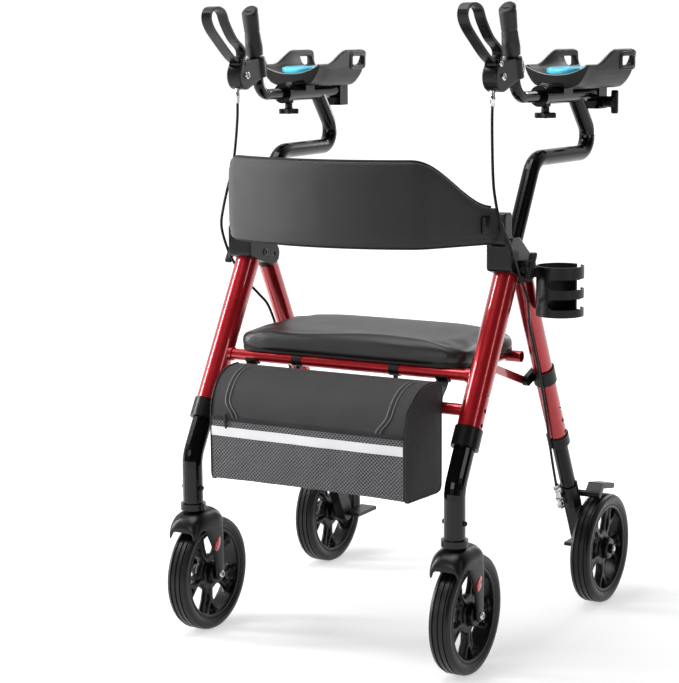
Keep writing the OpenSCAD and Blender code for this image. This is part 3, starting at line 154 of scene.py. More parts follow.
def blank(name, **sockets):
    """A new material with only its shader, and the shader's even values set on its own sockets."""
    material = bpy.data.materials.new(name)
    material.use_nodes = True
    tree = material.node_tree
    shader = tree.nodes["Principled BSDF"]
    wire(tree, shader, {key.replace("_", " "): value for key, value in sockets.items()})
    return material, tree, shader


def varied(name, base, size, tones, rough, **sockets):
    """A material whose colour and roughness vary a little, over patches of a size in millimetres."""
    material, tree, shader = blank(name, **sockets)
    place = add(tree, "TexCoord", out="Object")
    patches = add(tree, "TexNoise", {"Vector": place, "Scale": per(size), "Detail": 4.0}, "Fac")
    dark, light = (tuple(min(c * tone, 1) for c in base[:3]) + (1.0,) for tone in tones)
    wire(tree, shader, {
        "Base Color": add(tree, "Mix", {"Factor": patches, 6: dark, 7: light}, 2, data_type="RGBA"),
        "Roughness": add(tree, "MapRange", {"Value": patches, "To Min": rough[0], "To Max": rough[1]}),
    })
    return material, tree, shader, place


def grained(name, base, size, tones, rough, grain, depth, **sockets):
    """A varied material with a grain: its pattern, spacing and other inputs, and depth in millimetres."""
    material, tree, shader, place = varied(name, base, size, tones, rough, **sockets)
    kind, spacing, inputs = grain
    height = add(tree, kind, {"Vector": place, "Scale": per(spacing), **inputs})
    wire(tree, shader, {"Normal": add(tree, "Bump", {"Height": height, "Distance": depth * MM, "Strength": 1.0})})
    return material


# Finishes


def candy_red(colours):
    """Candy lacquer on tube: metal flake under a clear red coat, so edges go dark and lights go pink."""
    material = grained(
        "candy_lacquered_tube", colours.red, 26, (0.86, 1.12), (0.26, 0.34),
        ("TexNoise", 7, {"Detail": 2.0}), 0.03, Metallic=0.6, Coat_Weight=1.0, Coat_Roughness=0.04,
    )
    tree = material.node_tree
    tone = tree.nodes["Principled BSDF"].inputs["Base Color"]
    # Flake is far finer than a pixel, so it is drawn at about a millimetre to show at all
    place = add(tree, "TexCoord", out="Object")
    flake = add(tree, "TexVoronoi", {"Vector": place, "Scale": per(1.1)}, "Color")
    glint = add(tree, "MapRange", {"Value": flake, "To Min": 0.82, "To Max": 1.3})
    both = {"Factor": 1.0, 6: tone.links[0].from_socket, 7: glint}
    tree.links.new(add(tree, "Mix", both, 2, data_type="RGBA", blend_type="MULTIPLY"), tone)
    return material


def black_enamel(colours):
    """Stoved gloss enamel on steel tube: deep black, sharp lights and a faint orange peel."""
    return grained(
        "stoved_black_enamel", colours.black, 30, (0.8, 1.3), (0.11, 0.19),
        ("TexNoise", 5, {"Detail": 3.0}), 0.04, Specular_IOR_Level=0.2, Coat_Weight=0.12, Coat_Roughness=0.03,
    )


def moulded(name, base, spacing, rough, depth):
    """Injection moulded plastic with a spark-eroded grain: soft wide lights and slight rub marks."""
    grain = ("TexNoise", spacing, {"Detail": 6.0})
    return grained(name, base, 18, (0.85, 1.18), rough, grain, depth, Specular_IOR_Level=0.26)


def tyre_rubber():
    """Moulded solid tyre: dull black with a fine uneven skin and a little floor dust."""
    return grained(
        "moulded_tyre_rubber", linear("0C0C0D"), 9, (0.8, 1.25), (0.3, 0.42),
        ("TexNoise", 1.3, {"Detail": 4.0}), 0.12, Specular_IOR_Level=0.32,
    )


def grip_rubber():
    """Soft-touch rubber of the grips: matt, with small raised pips."""
    pips = ("TexVoronoi", 1.6, {"Randomness": 0.25})
    return grained("soft_touch_grip_rubber", linear("0D0D0E"), 12, (0.8, 1.2), (0.5, 0.62), pips, 0.1)


def gel_skin(colours, sizes):
    """Polyurethane gel in a dimpled skin: clear blue, a little light inside it, rows of small pits on top, each
    pit darkened with painted shade.
    """
    material, tree, shader = blank(
        "dimpled_gel_skin", Subsurface_Weight=0.25, Subsurface_Scale=0.006, Coat_Weight=0.25,
        Coat_Roughness=0.2, Roughness=0.36,
    )
    diagonal = {"Vector": add(tree, "TexCoord", out="Object"), "Rotation": (0, 0, math.radians(45))}
    turned = add(tree, "Mapping", diagonal, vector_type="POINT")
    flat = add(tree, "VectorMath", {0: turned, 1: (1, 1, 0)}, operation="MULTIPLY")
    dots = add(tree, "TexVoronoi", {"Vector": flat, "Scale": per(sizes.dimple / MM), "Randomness": 0.0})
    pit = add(tree, "MapRange", {"Value": dots, "From Min": 0.2, "From Max": 0.36})
    up = add(tree, "SeparateXYZ", {"Vector": add(tree, "NewGeometry", out="Normal")}, "Z")
    on_top = add(tree, "MapRange", {"Value": up, "From Min": 0.75, "From Max": 0.92})
    pit_depth_and_shade = add(tree, "Mix", {"Factor": on_top, 2: 1.0, 3: pit}, data_type="FLOAT")
    # Pit centres get a darker blue as painted shade in each dimple, from the same pattern that dents them
    deep = tuple(c * 0.5 for c in colours.gel[:3]) + (1.0,)
    tones = {"Factor": pit_depth_and_shade, 6: deep, 7: tuple(colours.gel)}
    wire(tree, shader, {
        "Base Color": add(tree, "Mix", tones, 2, data_type="RGBA"),
        "Normal": add(tree, "Bump", {"Height": pit_depth_and_shade, "Distance": 0.7 * MM, "Strength": 1.0}),
    })
    return material


def seat_vinyl(colours):
    """Embossed vinyl leathercloth: a fine pebble grain, satin, a little more polished in places."""
    material, tree, shader, place = varied(
        "embossed_seat_vinyl", colours.vinyl, 40, (0.85, 1.2), (0.36, 0.46),
        Specular_IOR_Level=0.4, Coat_Weight=0.1, Coat_Roughness=0.3,
    )
    pebble = add(tree, "TexVoronoi", {"Vector": place, "Scale": per(1.7)})
    uneven = add(tree, "TexNoise", {"Vector": place, "Scale": per(4), "Detail": 4.0}, "Fac")
    height = add(tree, "Math", {0: pebble, 1: uneven}, operation="ADD")
    wire(tree, shader, {"Normal": add(tree, "Bump", {"Height": height, "Distance": 0.16 * MM, "Strength": 1.0})})
    return material


def woven(name, base, thread, sheen, depth, rough=(0.72, 0.86)):
    """Plain woven cloth: two crossed sets of threads over a little fuzz."""
    material, tree, shader, place = varied(
        name, base, 22, (0.86, 1.16), rough, Sheen_Weight=sheen, Sheen_Roughness=0.5, Specular_IOR_Level=0.3
    )
    links = {"Vector": place, "Scale": per(thread) / 2, "Distortion": 0.6}
    waves = [add(tree, "TexWave", links, "Fac", bands_direction=way) for way in ("X", "Z")]
    height = add(tree, "Math", dict(enumerate(waves)), operation="MULTIPLY")
    wire(tree, shader, {"Normal": add(tree, "Bump", {"Height": height, "Distance": depth * MM, "Strength": 1.0})})
    return material


def net_cloth(spacing):
    """Knitted net over dark lining: pale crossed threads with small dark diamonds between them."""
    material, tree, shader = blank("knitted_bag_net", Sheen_Weight=0.1, Roughness=0.7)
    place = add(tree, "TexCoord", out="Object")
    across, up = (add(tree, "SeparateXYZ", {"Vector": place}, way) for way in ("X", "Z"))
    threads = []
    for operation in ("ADD", "SUBTRACT"):
        lean = add(tree, "Math", {0: across, 1: up}, operation=operation)
        turns = add(tree, "Math", {0: lean, 1: 2 * math.pi * per(spacing)}, operation="MULTIPLY")
        threads.append(add(tree, "Math", {0: turns}, operation="SINE"))
    high = add(tree, "Math", dict(enumerate(threads)), operation="MAXIMUM")
    thread = add(tree, "MapRange", {"Value": high, "From Min": 0.58, "From Max": 0.84})
    tones = {"Factor": thread, 6: linear("030304"), 7: linear("76767A")}
    wire(tree, shader, {
        "Base Color": add(tree, "Mix", tones, 2, data_type="RGBA"),
        "Normal": add(tree, "Bump", {"Height": thread, "Distance": 0.5 * MM, "Strength": 1.0}),
    })
    return material


def reflective_tape():
    """Glass-bead tape: nearly white, with a faint honeycomb under its face."""
    return grained(
        "glass_bead_tape", linear("E4E4E6"), 14, (0.95, 1.04), (0.28, 0.38),
        ("TexVoronoi", 3, {"Randomness": 0.0}), 0.06, Coat_Weight=0.5, Coat_Roughness=0.15,
    )


def zinc_steel():
    """Zinc plated steel: bright, with a fine drawn grain."""
    grain = ("TexNoise", 0.8, {"Detail": 3.0})
    return grained("zinc_plated_steel", linear("C9CACC"), 6, (0.9, 1.06), (0.16, 0.3), grain, 0.02, Metallic=1.0)


def reflector_acrylic(colours):
    """Red acrylic reflector: clear and glossy over a field of small prisms."""
    return grained(
        "prismatic_red_acrylic", colours.reflector, 5, (0.85, 1.1), (0.14, 0.22),
        ("TexVoronoi", 2.2, {"Randomness": 0.0}), 0.1, Coat_Weight=1.0, Coat_Roughness=0.03,
    )


def make_finishes(colours, sizes):
    """All finishes by a short name, made once."""
    return {
        "red": candy_red(colours),
        "enamel": black_enamel(colours),
        "abs": moulded("spark_eroded_abs", colours.plastic, 0.9, (0.26, 0.36), 0.04),
        "nylon": moulded("glass_filled_nylon", linear("0B0B0C"), 1.1, (0.32, 0.44), 0.05),
        "tray": moulded("soft_grain_tray_plastic", colours.tray, 1.0, (0.4, 0.5), 0.06),
        # The trim finish's pale grey is a painted highlight for the trays' edges and lips
        "trim": moulded("painted_highlight_bead", linear("A9A9AB"), 2.0, (0.25, 0.35), 0.02),
        "tyre": tyre_rubber(),
        "grip": grip_rubber(),
        "gel": gel_skin(colours, sizes),
        "vinyl": seat_vinyl(colours),
        "piping": moulded("vinyl_edge_piping", linear("0F0F10"), 1.2, (0.3, 0.42), 0.05),
        "band": woven("foam_backed_band_cloth", colours.band, 0.9, 0.15, 0.1, (0.44, 0.54)),
        "bag": woven("coated_bag_cloth", colours.bag, 1.0, 0.1, 0.12, (0.54, 0.66)),
        "webbing": woven("nylon_webbing", linear("18181A"), 1.6, 0.1, 0.3),
        "net": net_cloth(6.4),
        "tape": reflective_tape(),
        "steel": zinc_steel(),
        "reflector": reflector_acrylic(colours),
        "cord": moulded("zip_edge_cord", linear("77777A"), 1.0, (0.4, 0.5), 0.03),
        "sheath": moulded("extruded_cable_sheath", linear("09090A"), 2.0, (0.22, 0.32), 0.02),
        "board": moulded("black_stained_plywood", linear("1A1715"), 3.0, (0.5, 0.7), 0.1),
    }


# Solid parts by finish; the others are moulded ABS
NODES_OF_FINISH = {
    "red": ("front_frame", "rear_leg", "seat_link", "seat_frame"),
    "board": ("seat_board",),
    "enamel": ("front_inner_leg", "rear_inner_leg", "post", "handle"),
    "steel": ("front_button", "rear_button"),
    "nylon": ("cup_holder", "front_rim", "rear_rim", "brake_arm", "star_knob", "tray_knob", "post_knob"),
    "tyre": ("front_tyre", "rear_tyre"),
    "tray": ("tray",),
}
FINISH_OF_NODE = {node: finish for finish, nodes in NODES_OF_FINISH.items() for node in nodes}
FINISHES = {}

# Mesh helpers, in millimetres in the walker's frame until a piece is made


def at_leg(sign, x, y, z):
    """A point that lies x outboard of a leg's plane."""
    return Vector((sign * (LEG_X + x), y, z))


def at_arm(sign, x, y, z):
    """A point of an armrest, which is turned in a little about an upright line."""
    across = x * math.cos(ARM_TOE) + (y - ARM_TURN_Y) * math.sin(ARM_TOE)
    along = ARM_TURN_Y + (y - ARM_TURN_Y) * math.cos(ARM_TOE) - x * math.sin(ARM_TOE)
    return Vector((sign * (LEG_X + across), along, z))


def ease(start, end, x):
    """Smooth step from 0 at start to 1 at end."""
    t = min(max((x - start) / (end - start), 0), 1)
    return t * t * (3 - 2 * t)


def hump(x, middle, width):
    """A smooth hump of height 1."""
    return math.exp(-(((x - middle) / width) ** 2))


def squared(share, power):
    """A cosine or sine drawn out, so that a circle turns to a square with round corners."""
    return math.copysign(abs(share) ** power, share)


def spaced(count):
    """Shares from -1 to 1 that lie closest at the ends."""
    return [math.sin(math.pi / 2 * (2 * k / count - 1)) for k in range(count + 1)]


def make(name, points, faces, finish, body, slot, sharp=40):
    """One piece from points in millimetres, with its finish, riding on a body."""
    mesh = bpy.data.meshes.new(name)
    mesh.from_pydata([tuple(MM * c for c in p) for p in points], [], faces)
    work = bmesh.new()
    work.from_mesh(mesh)
    bmesh.ops.remove_doubles(work, verts=work.verts, dist=1e-6)
    bmesh.ops.recalc_face_normals(work, faces=work.faces)
    work.to_mesh(mesh)
    work.free()
    mesh.shade_smooth()
    mesh.set_sharp_from_angle(angle=math.radians(sharp))
    mesh.materials.append(FINISHES[finish])
    piece = bpy.data.objects.new(name, mesh)
    bpy.context.scene.collection.objects.link(piece)
    if body:
        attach(piece, body)
    return piece


def grid_faces(rows, cols, wrap_rows=False, wrap_cols=False, first=0):
    """Quads over a grid of points."""
    faces = []
    for i in range(rows if wrap_rows else rows - 1):
        for j in range(cols if wrap_cols else cols - 1):
            k = (i + 1) % rows
            m = (j + 1) % cols
            faces.append(tuple(first + n for n in (i * cols + j, i * cols + m, k * cols + m, k * cols + j)))
    return faces


def shell(top, bottom):
    """Points and faces of a closed skin over two grids, one above the other."""
    rows = len(top)
    cols = len(top[0])
    count = rows * cols
    points = [p for row in top for p in row] + [p for row in bottom for p in row]
    faces = grid_faces(rows, cols) + [f[::-1] for f in grid_faces(rows, cols, first=count)]
    rim = list(range(cols))
    rim += [i * cols + cols - 1 for i in range(1, rows)]
    rim += [(rows - 1) * cols + j for j in range(cols - 2, -1, -1)]
    rim += [i * cols for i in range(rows - 2, 0, -1)]
    for k, a in enumerate(rim):
        b = rim[(k + 1) % len(rim)]
        faces.append((a, count + a, count + b, b))
    return points, faces


def curve(points, steps):
    """Points on one smooth curve through a route's own points."""
    route = [Vector(p) for p in points]
    last = len(route) - 1
    out = []
    for i in range(last):
        a, b, c, d = (route[min(max(i + k, 0), last)] for k in (-1, 0, 1, 2))
        for k in range(steps):
            t = k / steps
            bend = (2 * a - 5 * b + 4 * c - d) * t**2 + (3 * b - a - 3 * c + d) * t**3
            out.append(0.5 * (2 * b + (c - a) * t + bend))
    out.append(route[-1])
    return out


def swept(path, section, closed=False):
    """Points and faces of a flat outline carried along a path without twist."""
    count = len(path)
    tangents = []
    for i in range(count):
        before = path[(i - 1) % count] if closed or i else path[0]
        after = path[(i + 1) % count] if closed or i < count - 1 else path[-1]
        tangents.append((after - before).normalized())
    side = tangents[0].cross(Vector((0, 0, 1)))
    if side.length < 0.1:
        side = tangents[0].cross(Vector((1, 0, 0)))
    side.normalize()
    points = []
    for place, go in zip(path, tangents):
        side = (side - go * side.dot(go)).normalized()
        up = side.cross(go)
        points += [place + side * a + up * b for a, b in section]
    faces = grid_faces(count, len(section), wrap_rows=closed, wrap_cols=True)
    if not closed:
        n = len(section)
        faces.append(tuple(range(n)))
        faces.append(tuple((count - 1) * n + k for k in reversed(range(n))))
    return points, faces


def ring(radius, sides, flat=1.0):
    """A round or oval outline."""
    turns = [2 * math.pi * k / sides for k in range(sides)]
    return [(radius * math.cos(t), radius * flat * math.sin(t)) for t in turns]


def flat_section(half, thin):
    """The outline of a strap or plate."""
    return [(half, -thin), (half, thin), (-half, thin), (-half, -thin)]


def lathe(profile, place, turns):
    """Points and faces of a profile of radius and height, turned round the place's own upright axis."""
    points = []
    for k in range(turns):
        a = 2 * math.pi * k / turns
        points += [place @ Vector((r * math.cos(a), r * math.sin(a), h)) for r, h in profile]
    return points, grid_faces(turns, len(profile), wrap_rows=True)


def facing(place, axis):
    """A place whose upright axis points along an axis."""
    return Matrix.Translation(place) @ Vector(axis).to_track_quat("Z", "Y").to_matrix().to_4x4()


def joined(*shapes):
    """Several shapes as one list of points and one of faces."""
    points = []
    faces = []
    for some_points, some_faces in shapes:
        start = len(points)
        points += list(some_points)
        faces += [tuple(start + n for n in f) for f in some_faces]
    return points, faces


def six_corners(seat, radius, height):
    """The corners of a hexagon at a height over a seat."""
    turns = [math.pi / 3 * k for k in range(6)]
    return [seat @ Vector((radius * math.cos(a), radius * math.sin(a), height)) for a in turns]


def bolt_shape(place, axis, radius, height):
    """A domed screw head with a six-sided socket."""
    seat = facing(place, axis)
    head = [(0.52 * radius, 0.25 * height), (0.52 * radius, 0.96 * height), (0.62 * radius, height)]
    head += [(0.86 * radius, 0.82 * height), (radius, 0.42 * height), (radius, 0.0)]
    floor = six_corners(seat, 0.52 * radius, 0.25 * height)
    return joined(lathe(head, seat, 30), (floor, [tuple(range(6))]))


def nut_shape(place, axis, radius, height):
    """A six-sided nut with turned corners and a stub of thread."""
    seat = facing(place, axis)
    points = []
    for h, grow in ((0, 1.0), (0.85, 1.0), (1.0, 0.88)):
        points += six_corners(seat, grow * radius, h * height)
    hexagon = points, grid_faces(3, 6, wrap_cols=True) + [tuple(range(12, 18))]
    stub = lathe([(0.0, 1.35 * height), (0.42 * radius, 1.3 * height), (0.5 * radius, height)], seat, 20)
    return joined(hexagon, stub)


def inflate(piece, pressure, cap, rest_z):
    """Swells a closed cover with a cloth simulation, held where it rests, and keeps the resulting mesh."""
    mesh = piece.data
    group = piece.vertex_groups.new(name="resting")
    group.add([v.index for v in mesh.vertices if v.co.z < rest_z * MM], 1.0, "REPLACE")
    before = np.zeros(len(mesh.vertices) * 3)
    mesh.vertices.foreach_get("co", before)
    cloth = piece.modifiers.new("cover", "CLOTH")
    cloth.settings.use_pressure = True
    cloth.settings.uniform_pressure_force = pressure
    cloth.settings.effector_weights.gravity = 0
    cloth.settings.vertex_group_mass = group.name
    scene = bpy.context.scene
    for step in range(1, 21):
        scene.frame_set(step)
    swollen = piece.evaluated_get(bpy.context.evaluated_depsgraph_get()).to_mesh()
    after = np.zeros(len(mesh.vertices) * 3)
    swollen.vertices.foreach_get("co", after)
    move = (after - before).reshape(-1, 3)
    far = np.linalg.norm(move, axis=1, keepdims=True)
    move *= np.minimum(1, cap / np.maximum(far, 1e-9))
    piece.modifiers.remove(cloth)
    piece.vertex_groups.remove(group)
    scene.frame_set(1)
    mesh.vertices.foreach_set("co", (before.reshape(-1, 3) + move).ravel())
    mesh.update()


def remeshed(piece, voxel):
    """Gives a closed piece an even mesh."""
    modifier = piece.modifiers.new("even", "REMESH")
    modifier.mode = "VOXEL"
    modifier.voxel_size = voxel * MM
    even = bpy.data.meshes.new_from_object(piece.evaluated_get(bpy.context.evaluated_depsgraph_get()))
    piece.modifiers.remove(modifier)
    even.materials.clear()
    even.materials.append(piece.data.materials[0])
    piece.data = even
    even.shade_smooth()


def eased(piece, passes):
    """Evens out a piece's mesh, so that its edges and corners round off."""
    work = bmesh.new()
    work.from_mesh(piece.data)
    for _ in range(passes):
        bmesh.ops.smooth_vert(
            work, verts=work.verts, factor=0.5, use_axis_x=True, use_axis_y=True, use_axis_z=True
        )
    work.to_mesh(piece.data)
    work.free()
    piece.data.shade_smooth()


def formed(name, node, extras, voxel, passes, finish, body, slot, keep=True):
    """A moulding's solid with the swellings and fillets of its mould: joined, remeshed evenly and eased."""
    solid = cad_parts[node].data
    plain_points = [v.co / MM for v in solid.vertices]
    plain_faces = [tuple(f.vertices) for f in solid.polygons]
    base = [(plain_points, plain_faces)] if keep else []
    piece = make(name, *joined(*base, *extras), finish, None, slot)
    remeshed(piece, voxel)
    eased(piece, passes)
    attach(piece, body)
    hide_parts(node)
    return piece


def stacked(rings):
    """Points and faces of a closed form through a stack of rings with the same number of points."""
    count = len(rings[0])
    faces = grid_faces(len(rings), count, wrap_cols=True)
    faces.append(tuple(range(count)))
    faces.append(tuple((len(rings) - 1) * count + k for k in reversed(range(count))))
    return [p for row in rings for p in row], faces


# Pieces

CABLE_ROUTE = (
    (-8, -100, 920), (-8, -101, 895), (-6, -104, 855), (-2, -109, 808), (4, -115, 777), (14, -117, 737),
    (25, -108, 704), (29, -89, 669), (29, -68, 638), (26, -34, 600), (16, -4, 570), (8, 17, 545),
    (6, 47, 490), (4, 78, 430), (0, 107, 374), (-6, 136, 318), (-10, 162, 268), (-12, 181, 231),
)
CABLE_PARTS = (
    (0, 2, "handle_set", "armrest"),
    (2, 8, "armrest", "frame"),
    (8, 13, "frame", "rear"),
    (13, 17, "rear", "rear_stem"),
)


def body_of(side, name):
    """A body's name on one side."""
    return name if name in ("frame", "seat") else side + "_" + name


def draw_cables(sizes):
    """Sheathed brake cables in four lengths along one route."""
    radius = sizes.cable_d / MM / 2
    for side, sign in SIDES:
        steps = 6
        whole = curve([at_leg(sign, *p) for p in CABLE_ROUTE], steps)
        for k, (a, b, upper, lower) in enumerate(CABLE_PARTS):
            path = whole[a * steps : b * steps + 1]
            piece = make(
                f"{side}_cable_{k + 1}", *swept(path, ring(radius, 14)), "sheath", None, "cable_sheath"
            )
            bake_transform(piece)
            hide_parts(side + "_cable")


def pad_place(u, v, inset):
    """Plan of the seat: nearly square corners, with sides drawn in a little."""
    power = 7
    most = max(abs(u), abs(v))
    spread = most / (abs(u) ** power + abs(v) ** power) ** (1 / power) if most else 1
    drawn_in = 0.012
    x = (SEAT_HALF[0] - inset) * u * spread * (1 - drawn_in * (1 - v * v))
    y = SEAT_MIDDLE_Y + (SEAT_HALF[1] - inset) * v * spread * (1 - drawn_in * (1 - u * u))
    return x, y


def draw_seat(sizes):
    """Seat cover over foam and board: a tall rolled front, a wavy line behind it and a shallow dish."""
    low = 494.6

    def crown(u, v):
        most = max(abs(u), abs(v))
        return 20 + 20 * math.sqrt(max(1 - most**9, 0)) + 2.5 * (1 - u * u) * (1 - v * v)

    us, vs = spaced(60), spaced(40)
    top = [[(*pad_place(u, v, 1.2), low + crown(u, v)) for v in vs] for u in us]
    bottom = [[(*pad_place(u, v, 4.5), low) for v in vs] for u in us]
    cover = make("seat_cover", *shell(top, bottom), "vinyl", None, "vinyl")
    remeshed(cover, 5)
    inflate(cover, 4.0, sizes.seat_swell, low + 8)
    eased(cover, 10)
    for vertex in cover.data.vertices:
        x, y, z = vertex.co / MM
        if z < low + 26:
            continue
        edge = -147 + 6 * math.sin((x + 25) / 60)
        behind = ease(edge - 2, edge + 20, y)
        inside = (1 - ease(150, 226, abs(x))) * (1 - 0.85 * ease(-100, 50, y))
        ridge = hump(y, edge - 5, 11) * (1 - ease(165, 226, abs(x)))
        wave = math.sin((x + 25) / 60) * (1 - ease(edge, edge + 60, y)) * (1 - ease(160, 224, abs(x)))
        vertex.co.z -= (7.5 * behind * inside - 1.2 * wave - 1.6 * ridge) * MM
    cover.modifiers.new("smooth", "SUBSURF").levels = 1
    cover.modifiers["smooth"].render_levels = 1
    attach(cover, "seat")
    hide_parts("seat_pad")
    # Black saddles hold the board on the front tube
    saddles = []
    for x in (-95, 95):
        path = [Vector((x - 9 + 3 * k, *SEAT_TUBE)) for k in range(7)]
        saddles.append(swept(path, ring(11.4, 24)))
        saddles.append(swept([p + Vector((0, 0, -12.5)) for p in path[2:5]], ring(3.4, 12, 1.4)))
    make("seat_saddles", *joined(*saddles), "nylon", "seat", "black_plastic")


# Plan of the band: a wide curve in front, a corner and a straight run to the joint
BAND_R = 386
BAND_FRONT_Y = -262.3
BAND_CORNER_X = 160.0
BAND_CORNER_R = 60
BAND_END = (246, -96.3)
BAND_TURN = math.asin(BAND_CORNER_X / BAND_R)


def band_plan(s):
    """Plan point and heading of the backrest band at a length from its middle, or its half length."""
    front = BAND_R * BAND_TURN
    start_y = BAND_FRONT_Y + BAND_R * (1 - math.cos(BAND_TURN))

    def corner(turn):
        return (
            BAND_CORNER_X + BAND_CORNER_R * (math.sin(turn) - math.sin(BAND_TURN)),
            start_y + BAND_CORNER_R * (math.cos(BAND_TURN) - math.cos(turn)),
        )

    turn = BAND_TURN
    while True:
        x, y = corner(turn)
        over, back = BAND_END[0] - x, BAND_END[1] - y
        if math.atan2(back, over) <= turn:
            break
        turn += math.radians(0.5)
    round_corner = BAND_CORNER_R * (turn - BAND_TURN)
    straight = math.hypot(over, back)
    if s is None:
        return front + round_corner + straight
    if s < front:
        a = s / BAND_R
        return BAND_R * math.sin(a), BAND_FRONT_Y + BAND_R * (1 - math.cos(a)), a
    if s < front + round_corner:
        a = BAND_TURN + (s - front) / BAND_CORNER_R
        return (*corner(a), a)
    share = (s - front - round_corner) / straight
    return x + over * share, y + back * share, turn


def band_tall(u):
    """Height of the band along it."""
    return 56 + 80 * (1 - ease(0.52, 1, abs(u)))


def band_point(u, v, face, lift=0.0):
    """A point of the band: u along it, v up it, face 1 outside and -1 inside."""
    x, y, turn = band_plan(abs(u) * BAND_HALF)
    a = turn + (math.pi / 2 - turn) * ease(0.9, 1, abs(u))
    thick = face * (10 * (0.45 + 0.55 * math.sqrt(max(1 - abs(v) ** 4, 0))) + lift)
    way = -1 if u < 0 else 1
    z = 698 + band_tall(u) * (v + 1) / 2
    return Vector((way * (x + thick * math.sin(a)), y - thick * math.cos(a), z))


BAND_HALF = band_plan(None)


def draw_band(sizes):
    """Backrest band: foam in a sewn cloth sleeve with hems, a bound edge and a clip at each end."""
    hem = sizes.hem / MM
    us = [2 * k / 150 - 1 for k in range(151)]
    vs = spaced(28)
    skins = {}
    for face in (1, -1):
        skins[face] = []
        for u in us:
            tall = band_tall(u)
            end = hump((1 - abs(u)) * BAND_HALF, 16, 1.5)
            row = []
            for v in vs:
                up = tall * (v + 1) / 2
                stitch = max(hump(up, hem, 1.3) + hump(tall - up, hem, 1.3), end)
                crease = noise.noise(Vector((u * 9, v * 1.7, face * 3.0))) * 0.9
                row.append(band_point(u, v, face, crease * (1 - v * v) - 1.4 * stitch))
            skins[face].append(row)
    band = make("backrest_cover", *shell(skins[1], skins[-1]), "band", "frame", "band_fabric", 60)
    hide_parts("backrest_band")
    edges = []
    for v in (-1, 1):
        path = [band_point(u, v, 0) for u in us[1:-1]]
        edges.append(swept(path, ring(1.5, 8, 2.6)))
    make("backrest_binding", *joined(*edges), "webbing", "frame", "band_fabric")
    clip_at = 0.93
    a = band_plan(clip_at * BAND_HALF)[2]
    for side, sign in SIDES:
        base = band_point(clip_at * sign, 0, 1)
        out = Vector((sign * math.sin(a), -math.cos(a), 0))
        along = Vector((sign * math.cos(a), math.sin(a), 0))
        clip = []
        for h, half_y, half_z in ((0, 7.6, 13.6), (1.2, 9, 15), (4.2, 9, 15), (5.2, 7.6, 13.6)):
            for c, d in ring(1, 28):
                across, up = squared(c, 0.35) * half_y, squared(d, 0.35) * half_z
                clip.append(base + out * (h - 0.6) + along * across + Vector((0, 0, up)))
        faces = grid_faces(4, 28, wrap_cols=True) + [tuple(range(84, 112))]
        make(side + "_band_clip", clip, faces, "abs", "frame", "band_fabric")


# Side view of the bag, and the middle of the curve over its front
BAG_BACK, BAG_FRONT = -182.0, -290.0
BAG_LOW, BAG_TOP = 293.0, 477.0
BAG_ROUND = 74
BAG_ROUND_AT = (-216, 403)
BAG_HALF = 190


def over_front(a):
    """A point of the bag's side view on the curve over its front, from its top down."""
    return BAG_ROUND_AT[0] - BAG_ROUND * math.sin(a), BAG_ROUND_AT[1] + BAG_ROUND * math.cos(a)


def bag_profile():
    """Side view of the bag from its rear top edge over the rounded front and back under the floor."""
    points = [(BAG_BACK, 465.0), (-184.0, 473.0), (-192.0, BAG_TOP)]
    points += [(-204 - 4 * k, BAG_TOP) for k in range(3)]
    points += [over_front(math.pi / 2 * k / 12) for k in range(13)]
    points += [(BAG_FRONT, BAG_ROUND_AT[1] - 12 * k) for k in range(1, 9)]
    points += [(-289.0, 300.0), (-286.0, 295.0), (-280.0, BAG_LOW)]
    points += [(-280 + 15 * k, BAG_LOW) for k in range(1, 6)]
    points += [(-194.0, BAG_LOW), (-186.0, 295.5), (-182.5, 302.0)]
    points += [(BAG_BACK, 302 + 20 * k) for k in range(1, 8)]
    return points


def bag_point(share, y, z, lift=0.0):
    """A point of the bag's skin at a share of its width, with the sag of filled cloth."""
    half = 186 + 10 * (y - BAG_FRONT) / 108
    middle = 1 - share * share
    over = ease(396, BAG_TOP, z) * ease(-186, -220, y)
    sag = 3.0 * middle * over - 2.5 * middle * ease(300, BAG_LOW, z)
    crease = 1.6 * noise.noise(Vector((share * 4.2, y * 0.02, z * 0.022))) * middle**0.4
    swell = 2.6 * middle * math.sin(math.pi * min(max((z - BAG_LOW) / 110, 0), 1)) * ease(-250, -285, y)
    forward = (swell + crease + lift) * (1 - over) if y < BAG_ROUND_AT[0] else 0
    return Vector((half * share, y - forward, z - sag + over * (crease + lift)))


def sewn(name, shapes, finish):
    """One piece sewn to the bag."""
    make(name, *joined(*shapes), finish, "frame", "bag_fabric")


